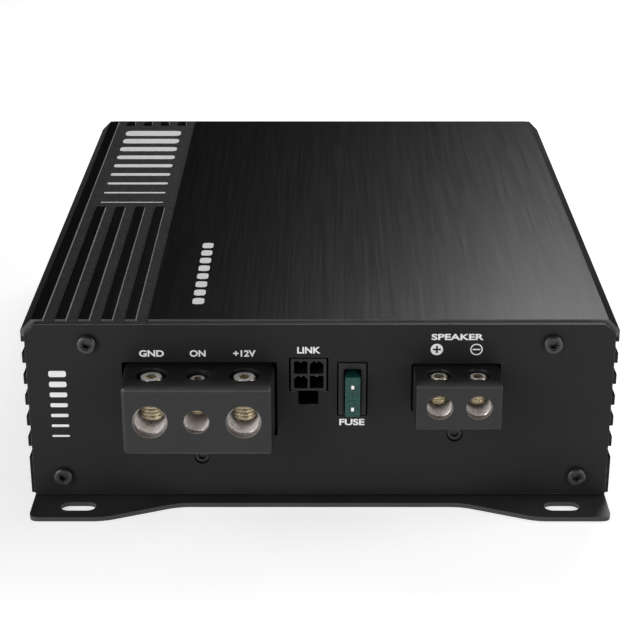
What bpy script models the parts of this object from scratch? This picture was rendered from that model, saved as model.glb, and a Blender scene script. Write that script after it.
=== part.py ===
"""Car amplifier: an extruded aluminium cover on a steel base plate, with its terminals, fuse and boards.

Metres. X runs across the front, -Y is the terminal end, +Z is up and the base plate rests on Z = 0.
"""

import math

import bmesh
import bpy
from mathutils import Matrix, Vector

GAP = 0.0003  # clearance kept between two pieces that touch

# Base plate
BASE_THICK = 0.0012
BASE_HALF_WIDTH = 0.0740
BASE_STRIP_OUT = 0.0052  # how far the plate's middle strip stands out past the cover
BASE_EAR_OUT = 0.0126  # and its four ears
BASE_STRIP_HALF = 0.0365
BASE_EAR_INNER = 0.0550
BASE_EAR_ROUND = 0.0025
SLOT_X = 0.06205
SLOT_OUT = 0.0069
SLOT_LENGTH = 0.0091
SLOT_WIDTH = 0.0044

# Extruded cover: its heights are above the base plate
WIDTH = 0.150
DEPTH = 0.175
HEIGHT = 0.04925
ROOF = 0.0040
WALL = 0.0045
TOP_CHAMFER = 0.0029
GROOVES = 6
GROOVE_LOW = 0.0108
GROOVE_PITCH = 0.00587
GROOVE_WIDTH = 0.0030
GROOVE_DEPTH = 0.0012
RIBS = 4
RIB_WIDTH = 0.00275
RECESS_LEFT = -0.0692
RECESS_RIGHT = -0.0429
RECESS_DEPTH = 0.0006
RIB_END = 0.0858  # the ribs' length back from the front
POCKET_END = 0.1722
UPPER_PORT = (0.0582, 0.0435)  # panel screw ports: offset from the middle, height
LOWER_PORT = (0.0661, 0.0063)
PORT_WALL = 0.0029
PORT_HOLE = 0.0018
SHANK = 0.0015  # radius of the panel and base screws
SMALL_SOCKET = 0.0020  # their hexagon sockets, across flats
BASE_SCREW_X = 0.0604
BASE_SCREW_Y = 0.0700
BASE_SCREW_HEAD = 0.0028
COUNTERSINK = (0.00374, 0.00209)  # radius under the plate and at its inner end
COUNTERSINK_SPAN = (-0.0005, 0.0009)
BASE_SCREW_HOLE = 0.00185
INNER_RIB = (0.0564, 0.0600)  # rib that the transistors lie against
INNER_RIB_LOW = 0.0208
FOOT_INNER = 0.0575
FOOT_THICK = 0.0028

# End panels
PANEL_FACE = 0.0020  # outer face, out from the cover's end
PANEL_HALF_WIDTH = 0.0738
PANEL_LOW = 0.0010
PANEL_TOP = 0.0487
PANEL_CHAMFER = 0.0027
BLOCK_ROOM = 0.0010  # the dark gap around the power terminals
SPEAKER_ROOM = 0.0006
LUG_RECESS = 0.0022

# Power and speaker terminals
POWER_X = (-0.0488, -0.0118)
POWER_Z = (0.0189, 0.0374)
POWER_OUT = 0.0150
POWER_AXIS_Z = 0.0280
GROUND_X = -0.0419
REMOTE_X = -0.0304
SUPPLY_X = -0.0188
SPEAKER_X = (0.0236, 0.0448)
SPEAKER_Z = (0.0254, 0.0374)
SPEAKER_OUT = 0.0140
SPEAKER_AXIS_Z = 0.0314
POSITIVE_X = 0.0295
NEGATIVE_X = 0.0392
CLAMP_OUT = 0.0073  # the clamp screws' axes, out from the cover's end
BLOCK_IN = 0.0070  # how far each block reaches in
BLOCK_FRONT_WALL = 0.0012
BLOCK_CORNER = 0.0008
BORE_IN = 0.0010  # how far the wire bores reach in
TAIL_GAP = 0.0012  # from each block's back to the barrels' tails
TAIL_THICK = 0.0020
POWER_LUG = (-0.0303, 0.0117)  # the screw that holds each block: across, height
SPEAKER_LUG = (0.0344, 0.01815)
LUG_HALF = 0.0040
LUG_IN = (0.0015, 0.0065)
LUG_HOLE = 0.0015

# Link socket
LINK_X = (-0.0073, 0.0016)
LINK_Z = (0.0305, 0.0393)
LINK_CELL = 0.00345
LINK_PITCH = 0.0040
LINK_KEY = 0.0009
LINK_DEEP = 0.0100
LINK_FLOOR = 0.0030
LINK_PIN = 0.0009
LINK_PIN_BACK = 0.0034  # how far the pins' tips stand behind the panel's face
LINK_BENDS = (0.0015, 0.0040)  # behind the socket: upper row, lower row
LATCH_X = (-0.0055, -0.0004)
LATCH_LOW = 0.0266
LATCH_POCKET = 0.0060  # how far the latch's pocket reaches in behind the panel
LATCH_WALL = 0.0010

# Fuse and its holder
FUSE_X = 0.0082
FUSE_Z = 0.0301
FUSE_THICK = 0.00377
FUSE_WIDE = 0.01097
FUSE_OUT = 0.0050
FUSE_HEAD_END = 0.0038
FUSE_FLANGE = 0.0016
FUSE_BODY_HALF = 0.0015
FUSE_FACE = 0.0008  # thickness of the moulding in front of the strip
FUSE_SHEET = 0.0008
FUSE_STEM = (0.0026, 0.0048)  # the stems' inner and outer edges from the fuse's middle
SLIT_HALF = 0.0007
WINDOW_HALF = 0.0005
WINDOW_MIDDLE = 0.00305
BRIDGE_OUT = 0.0020
BRIDGE_WIDE = 0.0008
BLADE_END = 0.0113
BLADE_MIDDLE = 0.00405
BLADE_CORNER = 0.0006
HOLDER_X = (0.0046, 0.0117)
HOLDER_Z = (0.0236, 0.0382)
HOLDER_IN = 0.0130
HOLDER_MOUTH_TOP = 0.0363
CAVITY_HALF = 0.0017
CLIP_HALF = 0.0007
CLIP_SHEET = 0.0005
CLIP_HEIGHT = 0.0028
CLIP_IN = 0.0010
CLIP_END = 0.0121
CLIP_TAIL = 0.0012
CLIP_RISES = (0.0008, 0.0022)  # behind the holder: upper clip, lower clip

# Rear end
RCA_X = (-0.0340, -0.0200)
REAR_AXIS_Z = 0.0315
RCA_FLANGE_OUT = 0.0050
RCA_IN = 0.0110
RCA_MARGIN = 0.0075
RCA_BELOW = 0.0065
RCA_SLEEVE = (0.00415, 0.0034)  # outer and inner radius
RCA_SLEEVE_LONG = 0.0158
RCA_CONTACT = 0.0016
CONTROL_X = (0.0120, 0.0280)
CONTROL_RADIUS = 0.0030
CONTROL_BODY = 0.0096
CONTROL_IN = 0.0080
SPINDLE = 0.0015
SPINDLE_LONG = 0.0080
DRIVER_SLOT = 0.0008
LED_X = 0.0460
LED_RADIUS = 0.0015

# Board, and the transistors that hang from it
BOARD_LOW = 0.0396
BOARD_THICK = 0.0016
BOARD_HALF_WIDTH = 0.0545
BOARD_INSET = 0.0030
TRANSISTOR_THICK = 0.0044
TRANSISTOR_HALF = 0.0050
TRANSISTOR_TALL = 0.0150
LEAD_PITCH = 0.00254
LEAD_HALF = 0.00035
SPRING_SHEET = 0.0008
SPRING_WIDE = 0.0080

FRONT = -DEPTH / 2
BACK = DEPTH / 2
REAR_REACH = POWER_OUT  # the rear sockets stand out as far as the power terminals
UNDER_BOARD = BASE_THICK + BOARD_LOW - GAP  # top of what meets the board from below

OVERLAP = 0.0005  # how far two joined shapes run into each other
CLEAR = 0.0020  # how far a cutter runs past the face it opens

parts = bpy.data.collections.new("car_amplifier")
cutters = bpy.data.collections.new("cutters")


def clear_scene():
    """Removes whatever the file opened with, and links this model's two collections."""
    for obj in list(bpy.data.objects):
        bpy.data.objects.remove(obj)
    bpy.context.scene.collection.children.link(parts)
    bpy.context.scene.collection.children.link(cutters)


def up(height):
    """A height above the base plate as a height above the floor."""
    return BASE_THICK + height


def finish(name, colour, roughness, metallic=0.0):
    """The material of that name, made at its first use."""
    made = bpy.data.materials.get(name)
    if made:
        return made
    made = bpy.data.materials.new(name)
    made.use_nodes = True
    shader = made.node_tree.nodes["Principled BSDF"]
    shader.inputs["Base Color"].default_value = (*colour, 1.0)
    shader.inputs["Roughness"].default_value = roughness
    shader.inputs["Metallic"].default_value = metallic
    return made


def anodised():
    return finish("black_anodised", (0.022, 0.022, 0.023), 0.42, 0.9)


def powder_coat():
    return finish("black_powder_coat", (0.028, 0.028, 0.029), 0.62)


def black_plastic():
    return finish("black_plastic", (0.022, 0.022, 0.022), 0.5)


def nickel():
    return finish("nickel_plate", (0.72, 0.69, 0.64), 0.25, 1.0)


def black_steel():
    return finish("black_screw", (0.02, 0.02, 0.02), 0.38, 0.8)


def brass():
    return finish("tinned_brass", (0.62, 0.55, 0.42), 0.35, 1.0)


def copper():
    return finish("enamelled_copper", (0.55, 0.2, 0.07), 0.35, 0.9)


def ferrite():
    return finish("ferrite", (0.05, 0.05, 0.05), 0.7)


def put(name, mesh, origin, made_of=None, turn=None):
    """A new object: a part when it has a material, else a hidden cutter."""
    obj = bpy.data.objects.new(name, mesh)
    obj.location = origin
    if turn:
        obj.rotation_euler = turn
    if made_of:
        parts.objects.link(obj)
        if not mesh.materials:
            mesh.materials.append(made_of)
    else:
        cutters.objects.link(obj)
        obj.hide_render = True
        obj.display_type = "WIRE"
    return obj


def mesh_from(name, shape, origin=(0, 0, 0)):
    """A bmesh as a mesh around the given origin."""
    bmesh.ops.translate(shape, verts=shape.verts, vec=-Vector(origin))
    mesh = bpy.data.meshes.new(name)
    shape.to_mesh(mesh)
    shape.free()
    mesh.shade_smooth()
    mesh.set_sharp_from_angle(angle=math.radians(35))
    return mesh


def box(name, x, y, z, made_of=None, bevel=0.0, segments=1):
    """A box between two values on each axis, its edges rounded when bevel is given."""
    low = Vector((x[0], y[0], z[0]))
    high = Vector((x[1], y[1], z[1]))
    middle = (low + high) / 2
    shape = bmesh.new()
    place = Matrix.Translation(middle) @ Matrix.Diagonal((*(high - low), 1.0))
    bmesh.ops.create_cube(shape, size=1.0, matrix=place)
    obj = put(name, mesh_from(name, shape, middle), middle, made_of)
    if bevel:
        rounding = obj.modifiers.new("rounded_edges", "BEVEL")
        rounding.width = bevel
        rounding.segments = segments
        rounding.limit_method = "ANGLE"
    return obj


def cylinder(name, radius, start, end, made_of=None, segments=24, end_radius=None):
    """A round bar, or a cone with end_radius, from start to end."""
    start = Vector(start)
    end = Vector(end)
    along = end - start
    middle = (start + end) / 2
    place = Matrix.Translation(middle) @ along.to_track_quat("Z", "Y").to_matrix().to_4x4()
    shape = bmesh.new()
    bmesh.ops.create_cone(
        shape,
        cap_ends=True,
        segments=segments,
        radius1=radius,
        radius2=radius if end_radius is None else end_radius,
        depth=along.length,
        matrix=place,
    )
    return put(name, mesh_from(name, shape, middle), middle, made_of)


def baked(obj):
    """The object's evaluated shape as a welded mesh; the object itself is removed."""
    graph = bpy.context.evaluated_depsgraph_get()
    mesh = bpy.data.meshes.new_from_object(obj.evaluated_get(graph))
    mesh.name = obj.name
    bpy.data.objects.remove(obj)
    shape = bmesh.new()
    shape.from_mesh(mesh)
    bmesh.ops.remove_doubles(shape, verts=shape.verts, dist=1e-6)
    shape.to_mesh(mesh)
    shape.free()
    mesh.shade_smooth()
    mesh.set_sharp_from_angle(angle=math.radians(35))
    return mesh


def plate(name, outlines, thickness, middle, along, made_of=None):
    """A flat outline and its holes, thick along one axis: "X" takes (y, z) points, "Y" (x, z), "Z" (x, y)."""
    curve = bpy.data.curves.new(name, "CURVE")
    curve.dimensions = "2D"
    curve.fill_mode = "BOTH"
    curve.extrude = thickness / 2
    for outline in outlines:
        spline = curve.splines.new("POLY")
        spline.points.add(len(outline) - 1)
        for point, (across, upward) in zip(spline.points, outline):
            point.co = (across, upward, 0.0, 1.0)
        spline.use_cyclic_u = True
    guide = bpy.data.objects.new(name + "_outline", curve)
    parts.objects.link(guide)
    mesh = baked(guide)
    quarter = math.pi / 2
    places = {
        "X": ((middle, 0.0, 0.0), (quarter, 0.0, quarter)),
        "Y": ((0.0, middle, 0.0), (quarter, 0.0, 0.0)),
        "Z": ((0.0, 0.0, middle), None),
    }
    origin, turn = places[along]
    return put(name, mesh, origin, made_of, turn)


def turned_mesh(name, profile, steps=20, closed=False):
    """The mesh of a shape turned about local Z; its (radius, height) points run from the top down."""
    edges = [(i, i + 1) for i in range(len(profile) - 1)]
    if closed:
        edges.append((len(profile) - 1, 0))
    mesh = bpy.data.meshes.new(name)
    mesh.from_pydata([(radius, 0.0, height) for radius, height in profile], edges, [])
    guide = bpy.data.objects.new(name + "_turned", mesh)
    parts.objects.link(guide)
    turning = guide.modifiers.new("turning", "SCREW")
    turning.axis = "Z"
    turning.steps = steps
    turning.render_steps = steps
    turning.use_merge_vertices = True
    turning.merge_threshold = 1e-5
    return baked(guide)


def boolean(obj, tool, operation="DIFFERENCE", solver="EXACT"):
    step = obj.modifiers.new(tool.name, "BOOLEAN")
    step.operation = operation
    step.solver = solver
    step.object = tool


def cut(obj, *tools, solver="EXACT"):
    for tool in tools:
        boolean(obj, tool, solver=solver)


def join(obj, *tools):
    for tool in tools:
        boolean(obj, tool, "UNION")


def rectangle(x, z):
    return [(x[0], z[0]), (x[1], z[0]), (x[1], z[1]), (x[0], z[1])]


def circle(middle, radius, segments=16, first=0.0):
    turns = [first + 2 * math.pi * i / segments for i in range(segments)]
    return [(middle[0] + radius * math.cos(t), middle[1] + radius * math.sin(t)) for t in turns]


def arc(middle, radius, first, last, steps):
    """Points along an arc, both ends included; the angles are in degrees."""
    turns = [math.radians(first + (last - first) * i / steps) for i in range(steps + 1)]
    return [(middle[0] + radius * math.cos(t), middle[1] + radius * math.sin(t)) for t in turns]


def mirrored(points):
    """The other half of an outline that is symmetric about x = 0, run the other way."""
    return [(-x, z) for x, z in reversed(points)]


# ---------------------------------------------------------------- cover, base plate and end panels


def cover_side():
    """The outer side at +X, from the base up to the top corner."""
    half = WIDTH / 2
    top = up(HEIGHT)
    points = [(half, up(GAP))]
    for i in range(GROOVES):
        low = up(GROOVE_LOW + i * GROOVE_PITCH)
        high = low + GROOVE_WIDTH
        points += [(half, low), (half - GROOVE_DEPTH, low), (half - GROOVE_DEPTH, high), (half, high)]
    points += [(half, top - TOP_CHAMFER), (half - TOP_CHAMFER, top)]
    return points


def cover_top_grooves():
    """The five grooves that leave the ribs, from the right to the left."""
    top = up(HEIGHT)
    groove = (RECESS_RIGHT - RECESS_LEFT - RIBS * RIB_WIDTH) / (RIBS + 1)
    points = []
    for i in range(RIBS + 1):
        right = RECESS_RIGHT - i * (groove + RIB_WIDTH)
        left = right - groove
        points += [(right, top), (right, top - RECESS_DEPTH), (left, top - RECESS_DEPTH), (left, top)]
    return points


def cover_channel():
    """The inner side at +X, from the roof's middle down to the foot."""
    roof = up(HEIGHT - ROOF)
    port = (UPPER_PORT[0], up(UPPER_PORT[1]))
    inner, outer = INNER_RIB
    left_end = -math.degrees(math.acos((inner - port[0]) / PORT_WALL))
    right_end = -math.degrees(math.acos((outer - port[0]) / PORT_WALL))
    wall = WIDTH / 2 - WALL
    lower = LOWER_PORT[0] - PORT_WALL
    foot = up(GAP + FOOT_THICK)
    points = [(port[0] - PORT_WALL, roof)]
    points += arc(port, PORT_WALL, -180, left_end, 3)
    points += [(inner, up(INNER_RIB_LOW)), (outer, up(INNER_RIB_LOW))]
    points += arc(port, PORT_WALL, right_end, 0, 3)
    points += [(port[0] + PORT_WALL, roof), (wall, roof)]
    points += [(wall, up(LOWER_PORT[1] + PORT_WALL)), (lower, up(LOWER_PORT[1] + PORT_WALL))]
    points += [(lower, foot), (FOOT_INNER, foot), (FOOT_INNER, up(GAP))]
    return points


def port_places():
    """Where the four panel screws stand at each end, as (x, z)."""
    places = []
    for side in (-1, 1):
        for x, height in (UPPER_PORT, LOWER_PORT):
            places.append((side * x, up(height)))
    return places


def base_screw_places():
    return [(side * BASE_SCREW_X, end * BASE_SCREW_Y) for side in (-1, 1) for end in (-1, 1)]


def make_cover():
    side = cover_side()
    channel = cover_channel()
    outline = side + cover_top_grooves() + mirrored(side) + mirrored(channel) + channel
    ports = [circle(place, PORT_HOLE, 12) for place in port_places()]
    cover = plate("heatsink_cover", [outline, *ports], DEPTH, 0.0, "Y", anodised())
    floor = up(HEIGHT) - RECESS_DEPTH
    pocket_y = (FRONT + RIB_END, FRONT + POCKET_END)
    cut(cover, box("badge_pocket", (RECESS_LEFT, RECESS_RIGHT), pocket_y, (floor, up(HEIGHT) + CLEAR)))
    hole_top = up(GAP + FOOT_THICK) + CLEAR
    for i, (x, y) in enumerate(base_screw_places()):
        cut(cover, cylinder(f"foot_hole_{i}", PORT_HOLE, (x, y, 0), (x, y, hole_top), segments=12))


def base_outline():
    """The plate's outline: its front right quarter, mirrored to the left and to the rear."""
    strip = FRONT - BASE_STRIP_OUT
    ear = FRONT - BASE_EAR_OUT
    corner = (BASE_HALF_WIDTH - BASE_EAR_ROUND, ear + BASE_EAR_ROUND)
    quarter = [(BASE_STRIP_HALF, strip), (BASE_EAR_INNER, ear)]
    quarter += arc(corner, BASE_EAR_ROUND, -90, 0, 5)
    front = mirrored(quarter) + quarter
    return front + [(x, -y) for x, y in reversed(front)]


def slot_outline(x, y):
    radius = SLOT_WIDTH / 2
    reach = (SLOT_LENGTH - SLOT_WIDTH) / 2
    return arc((x + reach, y), radius, -90, 90, 6) + arc((x - reach, y), radius, 90, 270, 6)


def make_base_plate():
    slots = []
    for x in (-SLOT_X, SLOT_X):
        for y in (FRONT - SLOT_OUT, BACK + SLOT_OUT):
            slots.append(slot_outline(x, y))
    holes = [circle(place, BASE_SCREW_HOLE, 16) for place in base_screw_places()]
    outlines = [base_outline(), *slots, *holes]
    base = plate("base_plate", outlines, BASE_THICK, BASE_THICK / 2, "Z", powder_coat())
    wide, narrow = COUNTERSINK
    low, high = COUNTERSINK_SPAN
    for i, (x, y) in enumerate(base_screw_places()):
        ends = ((x, y, low), (x, y, high))
        cone = cylinder(f"countersink_{i}", wide, *ends, end_radius=narrow, segments=16)
        cut(base, cone, solver="MANIFOLD")


def panel_outline():
    top = up(PANEL_TOP)
    half = [
        (PANEL_HALF_WIDTH, up(PANEL_LOW)),
        (PANEL_HALF_WIDTH, top - PANEL_CHAMFER),
        (PANEL_HALF_WIDTH - PANEL_CHAMFER, top),
    ]
    return half + mirrored(half)


def lug_places():
    """Where the screws stand that hold the two terminal blocks, as (x, z)."""
    return [(x, up(height)) for x, height in (POWER_LUG, SPEAKER_LUG)]


def link_opening():
    """The panel's hole for the link socket, with room for its latch below."""
    left, right = LATCH_X
    step = up(LINK_Z[0]) - OVERLAP / 2
    x = (LINK_X[0] - OVERLAP, LINK_X[1] + OVERLAP)
    top = up(LINK_Z[1]) + GAP
    low = up(LATCH_LOW)
    points = [(left, low), (right, low), (right, step), (x[1], step), (x[1], top), (x[0], top)]
    return [*points, (x[0], step), (left, step)]


def around(x, z, room):
    """A rectangular opening with the same room on each side."""
    return rectangle((x[0] - room, x[1] + room), (up(z[0]) - room, up(z[1]) + room))


def make_front_panel():
    openings = [
        around(POWER_X, POWER_Z, BLOCK_ROOM),
        around(SPEAKER_X, SPEAKER_Z, SPEAKER_ROOM),
        around(HOLDER_X, HOLDER_Z, GAP),
        link_opening(),
    ]
    holes = [circle(place, PORT_HOLE, 12) for place in port_places()]
    holes += [circle(place, LUG_RECESS, 12) for place in lug_places()]
    thick = PANEL_FACE - GAP
    middle = FRONT - GAP - thick / 2
    plate("front_panel", [panel_outline(), *openings, *holes], thick, middle, "Y", powder_coat())


def make_rear_panel():
    z = up(REAR_AXIS_Z)
    margin = RCA_MARGIN + GAP
    sockets = rectangle((RCA_X[0] - margin, RCA_X[1] + margin), (z - RCA_BELOW - GAP, up(BOARD_LOW) - GAP))
    holes = [circle(place, PORT_HOLE, 12) for place in port_places()]
    holes += [circle((x, z), CONTROL_RADIUS + OVERLAP, 20) for x in CONTROL_X]
    holes.append(circle((LED_X, z), LED_RADIUS + GAP, 12))
    thick = PANEL_FACE - GAP
    middle = BACK + GAP + thick / 2
    plate("rear_panel", [panel_outline(), sockets, *holes], thick, middle, "Y", powder_coat())


# ---------------------------------------------------------------- screws


def socket_cut(mesh, name, across_flats, top, deep):
    """The mesh with a hexagon socket sunk into its top face."""
    guide = bpy.data.objects.new(name + "_blank", mesh)
    parts.objects.link(guide)
    corner = across_flats / math.sqrt(3)
    tool = cylinder(name + "_socket", corner, (0, 0, top - deep), (0, 0, top + CLEAR), segments=6)
    cut(guide, tool)
    made = baked(guide)
    bpy.data.objects.remove(tool)
    made.materials.clear()
    return made


def button_screw_mesh():
    radius = 0.0027
    top = 0.00165
    tip = -0.0096
    edge = 0.0004
    profile = [(0, top), (0.0013, 0.00160), (0.0022, 0.00125), (radius, 0.0005), (radius, 0)]
    profile += [(SHANK, 0), (SHANK, tip + edge), (SHANK - edge, tip), (0, tip)]
    return socket_cut(turned_mesh("button_screw", profile, 14), "button_screw", SMALL_SOCKET, top, 0.0011)


def make_panel_screws():
    mesh = button_screw_mesh()
    quarter = math.pi / 2
    face = PANEL_FACE + GAP
    for i, (x, z) in enumerate(port_places(), 1):
        put(f"front_panel_screw_{i}", mesh, (x, FRONT - face, z), black_steel(), (quarter, 0, 0))
        put(f"rear_panel_screw_{i}", mesh, (x, BACK + face, z), black_steel(), (-quarter, 0, 0))


def make_base_screws():
    tip = -0.0041
    edge = 0.0004
    profile = [(0, 0), (BASE_SCREW_HEAD, 0), (SHANK, -0.0011), (SHANK, tip + edge / 2)]
    profile += [(SHANK - edge, tip), (0, tip)]
    blank = turned_mesh("countersunk_screw", profile, 12)
    mesh = socket_cut(blank, "countersunk_screw", SMALL_SOCKET, 0, 0.0010)
    for i, (x, y) in enumerate(base_screw_places(), 1):
        put(f"base_screw_{i}", mesh, (x, y, 0.0001), black_steel(), (math.pi, 0, 0))


def set_screw_mesh(name, radius, length, across_flats):
    """A headless clamp screw, its top face at local zero."""
    edge = 0.0003
    profile = [(0, 0), (radius - edge, 0), (radius, -edge), (radius, edge * 2 - length)]
    profile += [(radius - 2 * edge, -length), (0, -length)]
    return socket_cut(turned_mesh(name, profile, 16), name, across_flats, 0, 0.0018)


def make_block_screws():
    head = (0.0019, -0.0012)
    shank = (0.0011, -0.0070)
    profile = [(0, 0), (head[0], 0), head, (shank[0], head[1]), shank, (0, shank[1])]
    mesh = socket_cut(turned_mesh("block_screw", profile, 12), "block_screw", SMALL_SOCKET, 0, 0.0008)
    face = FRONT - PANEL_FACE + 2 * GAP
    for name, (x, z) in zip(("power_block_screw", "speaker_block_screw"), lug_places()):
        put(name, mesh, (x, face, z), black_steel(), (math.pi / 2, 0, 0))


# ---------------------------------------------------------------- terminals


class Way:
    """One wire entry of a terminal block: its bore, its clamp screw and its metal barrel."""

    def __init__(self, name, x, z, mouth, bore, well, half, height, screw, flats, screw_top, screw_tip):
        self.name = name
        self.x = x
        self.z = up(z)
        self.mouth = mouth  # radius of the hole in the plastic front
        self.bore = bore  # radius of the hole in the barrel
        self.well = well  # radius of the screw's hole in the plastic top
        self.half = half  # half the barrel's width
        self.height = height  # half the barrel's height
        self.screw = screw  # the clamp screw's radius
        self.flats = flats  # its socket's width across flats
        self.screw_top = up(screw_top)
        self.screw_tip = up(screw_tip)


def power_ways():
    """Ground, remote turn-on and supply, from the left."""
    wide = {
        "mouth": 0.0044,
        "bore": 0.00375,
        "well": 0.0040,
        "half": 0.0049,
        "height": 0.0058,
        "screw": 0.0030,
        "flats": 0.0026,
        "screw_top": 0.0369,
        "screw_tip": 0.0260,
    }
    slim = {
        "mouth": 0.0032,
        "bore": 0.0031,
        "well": 0.0031,
        "half": 0.0041,
        "height": 0.0058,
        "screw": 0.0022,
        "flats": 0.0020,
        "screw_top": 0.0364,
        "screw_tip": 0.0272,
    }
    return [
        Way("ground", GROUND_X, POWER_AXIS_Z, **wide),
        Way("remote", REMOTE_X, POWER_AXIS_Z, **slim),
        Way("supply", SUPPLY_X, POWER_AXIS_Z, **wide),
    ]


def speaker_ways():
    shape = {
        "mouth": 0.00325,
        "bore": 0.0029,
        "well": 0.0033,
        "half": 0.0041,
        "height": 0.0042,
        "screw": 0.0023,
        "flats": 0.0025,
        "screw_top": 0.0370,
        "screw_tip": 0.0301,
    }
    return [
        Way("speaker_positive", POSITIVE_X, SPEAKER_AXIS_Z, **shape),
        Way("speaker_negative", NEGATIVE_X, SPEAKER_AXIS_Z, **shape),
    ]


def open_way(block, label, way, front, top):
    """Cuts one way into its housing: the mouth, the screw's well and the barrel's pocket."""
    axis = FRONT - CLAMP_OUT
    inner = front + BLOCK_FRONT_WALL
    mouth_end = inner + OVERLAP
    pocket_x = (way.x - way.half - GAP, way.x + way.half + GAP)
    pocket_y = (inner, FRONT + BLOCK_IN + CLEAR)
    pocket_z = (way.z - way.height - GAP, way.z + way.height + GAP)
    cut(
        block,
        cylinder(label + "_mouth", way.mouth, (way.x, front - CLEAR, way.z), (way.x, mouth_end, way.z)),
        cylinder(label + "_well", way.well, (way.x, axis, way.z + way.height), (way.x, axis, top + CLEAR)),
        box(label + "_pocket", pocket_x, pocket_y, pocket_z),
    )


def terminal_block(name, x, z, out, ways, lug):
    """The moulded housing: a pocket open at the back for each barrel, and a lug below for its screw."""
    z = (up(z[0]), up(z[1]))
    front = FRONT - out
    block = box(name, x, (front, FRONT + BLOCK_IN), z, black_plastic(), bevel=BLOCK_CORNER, segments=2)
    lug_x, lug_z = lug
    across = (lug_x - LUG_HALF, lug_x + LUG_HALF)
    deep = (FRONT + LUG_IN[0], FRONT + LUG_IN[1])
    join(block, box(name + "_lug", across, deep, (lug_z - LUG_HALF, z[0] + 2 * OVERLAP)))
    hole_ends = ((lug_x, FRONT, lug_z), (lug_x, FRONT + LUG_IN[1] + CLEAR, lug_z))
    cut(block, cylinder(name + "_lug_hole", LUG_HOLE, *hole_ends, segments=12))
    for way in ways:
        open_way(block, f"{name}_{way.name}", way, front, z[1])


def barrel(way, out):
    """A metal barrel: wire bore from the front, thread for the clamp screw, tail up to the board."""
    front = FRONT - out + BLOCK_FRONT_WALL + GAP
    tail = (FRONT + BLOCK_IN + TAIL_GAP, FRONT + BLOCK_IN + TAIL_GAP + TAIL_THICK)
    low = way.z - way.height
    high = way.z + way.height
    outline = [(front, low), (tail[1], low), (tail[1], UNDER_BOARD), (tail[0], UNDER_BOARD)]
    outline += [(tail[0], high), (front, high)]
    metal = plate(way.name + "_barrel", [outline], 2 * way.half, way.x, "X", nickel())
    axis = FRONT - CLAMP_OUT
    label = way.name + "_barrel"
    cut(
        metal,
        cylinder(label + "_bore", way.bore, (way.x, front - CLEAR, way.z), (way.x, FRONT + BORE_IN, way.z)),
        cylinder(label + "_thread", way.screw + GAP, (way.x, axis, way.z), (way.x, axis, high + CLEAR)),
    )


def make_terminals():
    power_lug, speaker_lug = lug_places()
    terminal_block("power_terminal_block", POWER_X, POWER_Z, POWER_OUT, power_ways(), power_lug)
    terminal_block("speaker_terminal_block", SPEAKER_X, SPEAKER_Z, SPEAKER_OUT, speaker_ways(), speaker_lug)
    for out, ways in ((POWER_OUT, power_ways()), (SPEAKER_OUT, speaker_ways())):
        for way in ways:
            barrel(way, out)
            name = way.name + "_clamp_screw"
            mesh = set_screw_mesh(name, way.screw, way.screw_top - way.screw_tip, way.flats)
            put(name, mesh, (way.x, FRONT - CLAMP_OUT, way.screw_top), nickel())


# ---------------------------------------------------------------- link socket and fuse


def link_cells():
    """The four cells' middles as (x, z, keyed): a keyed cell has its two top corners cut off."""
    x = (LINK_X[0] + LINK_X[1]) / 2
    z = up((LINK_Z[0] + LINK_Z[1]) / 2)
    half = LINK_PITCH / 2
    return [
        (x - half, z + half, False),
        (x + half, z + half, True),
        (x - half, z - half, True),
        (x + half, z - half, False),
    ]


def cell_outline(x, z, keyed):
    half = LINK_CELL / 2
    corner = LINK_KEY if keyed else 0.0
    cell = [(x - half, z - half), (x + half, z - half)]
    if keyed:
        cell += [(x + half, z + half - corner), (x + half - corner, z + half)]
        cell += [(x - half + corner, z + half), (x - half, z + half - corner)]
    else:
        cell += [(x + half, z + half), (x - half, z + half)]
    return cell


def latch_pocket(header):
    """Walls under the socket that close the room for its latch at the sides, below and behind."""
    low = up(LATCH_LOW)
    high = up(LINK_Z[0]) + OVERLAP
    end = FRONT + LATCH_POCKET
    outer_x = (LATCH_X[0] - LATCH_WALL, LATCH_X[1] + LATCH_WALL)
    pocket = box("latch_pocket", outer_x, (FRONT, end + LATCH_WALL), (low - LATCH_WALL, high))
    cut(pocket, box("latch_room", LATCH_X, (FRONT - CLEAR, end), (low, high + CLEAR)))
    join(header, pocket)


def make_link_header():
    face = FRONT - PANEL_FACE
    floor = face + LINK_DEEP
    back = floor + LINK_FLOOR
    z = (up(LINK_Z[0]), up(LINK_Z[1]))
    hole = LINK_PIN / 2 + GAP
    half = LINK_PIN / 2
    header = box("link_header", LINK_X, (face, back), z, black_plastic())
    latch_pocket(header)
    for i, (x, height, keyed) in enumerate(link_cells(), 1):
        cell = cell_outline(x, height, keyed)
        hole_z = (height - hole, height + hole)
        cut(
            header,
            plate(f"link_cell_{i}", [cell], LINK_DEEP + CLEAR, floor - (LINK_DEEP + CLEAR) / 2, "Y"),
            box(f"pin_hole_{i}", (x - hole, x + hole), (floor - OVERLAP, back + CLEAR), hole_z),
        )
        upper_row = i < 3
        bend = back + (LINK_BENDS[0] if upper_row else LINK_BENDS[1])
        tip = face + LINK_PIN_BACK
        low = height - half
        high = height + half
        pin = [(tip, low), (bend, low), (bend, UNDER_BOARD), (bend - LINK_PIN, UNDER_BOARD)]
        pin += [(bend - LINK_PIN, high), (tip, high)]
        plate(f"link_pin_{i}", [pin], LINK_PIN, x, "X", brass())


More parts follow.
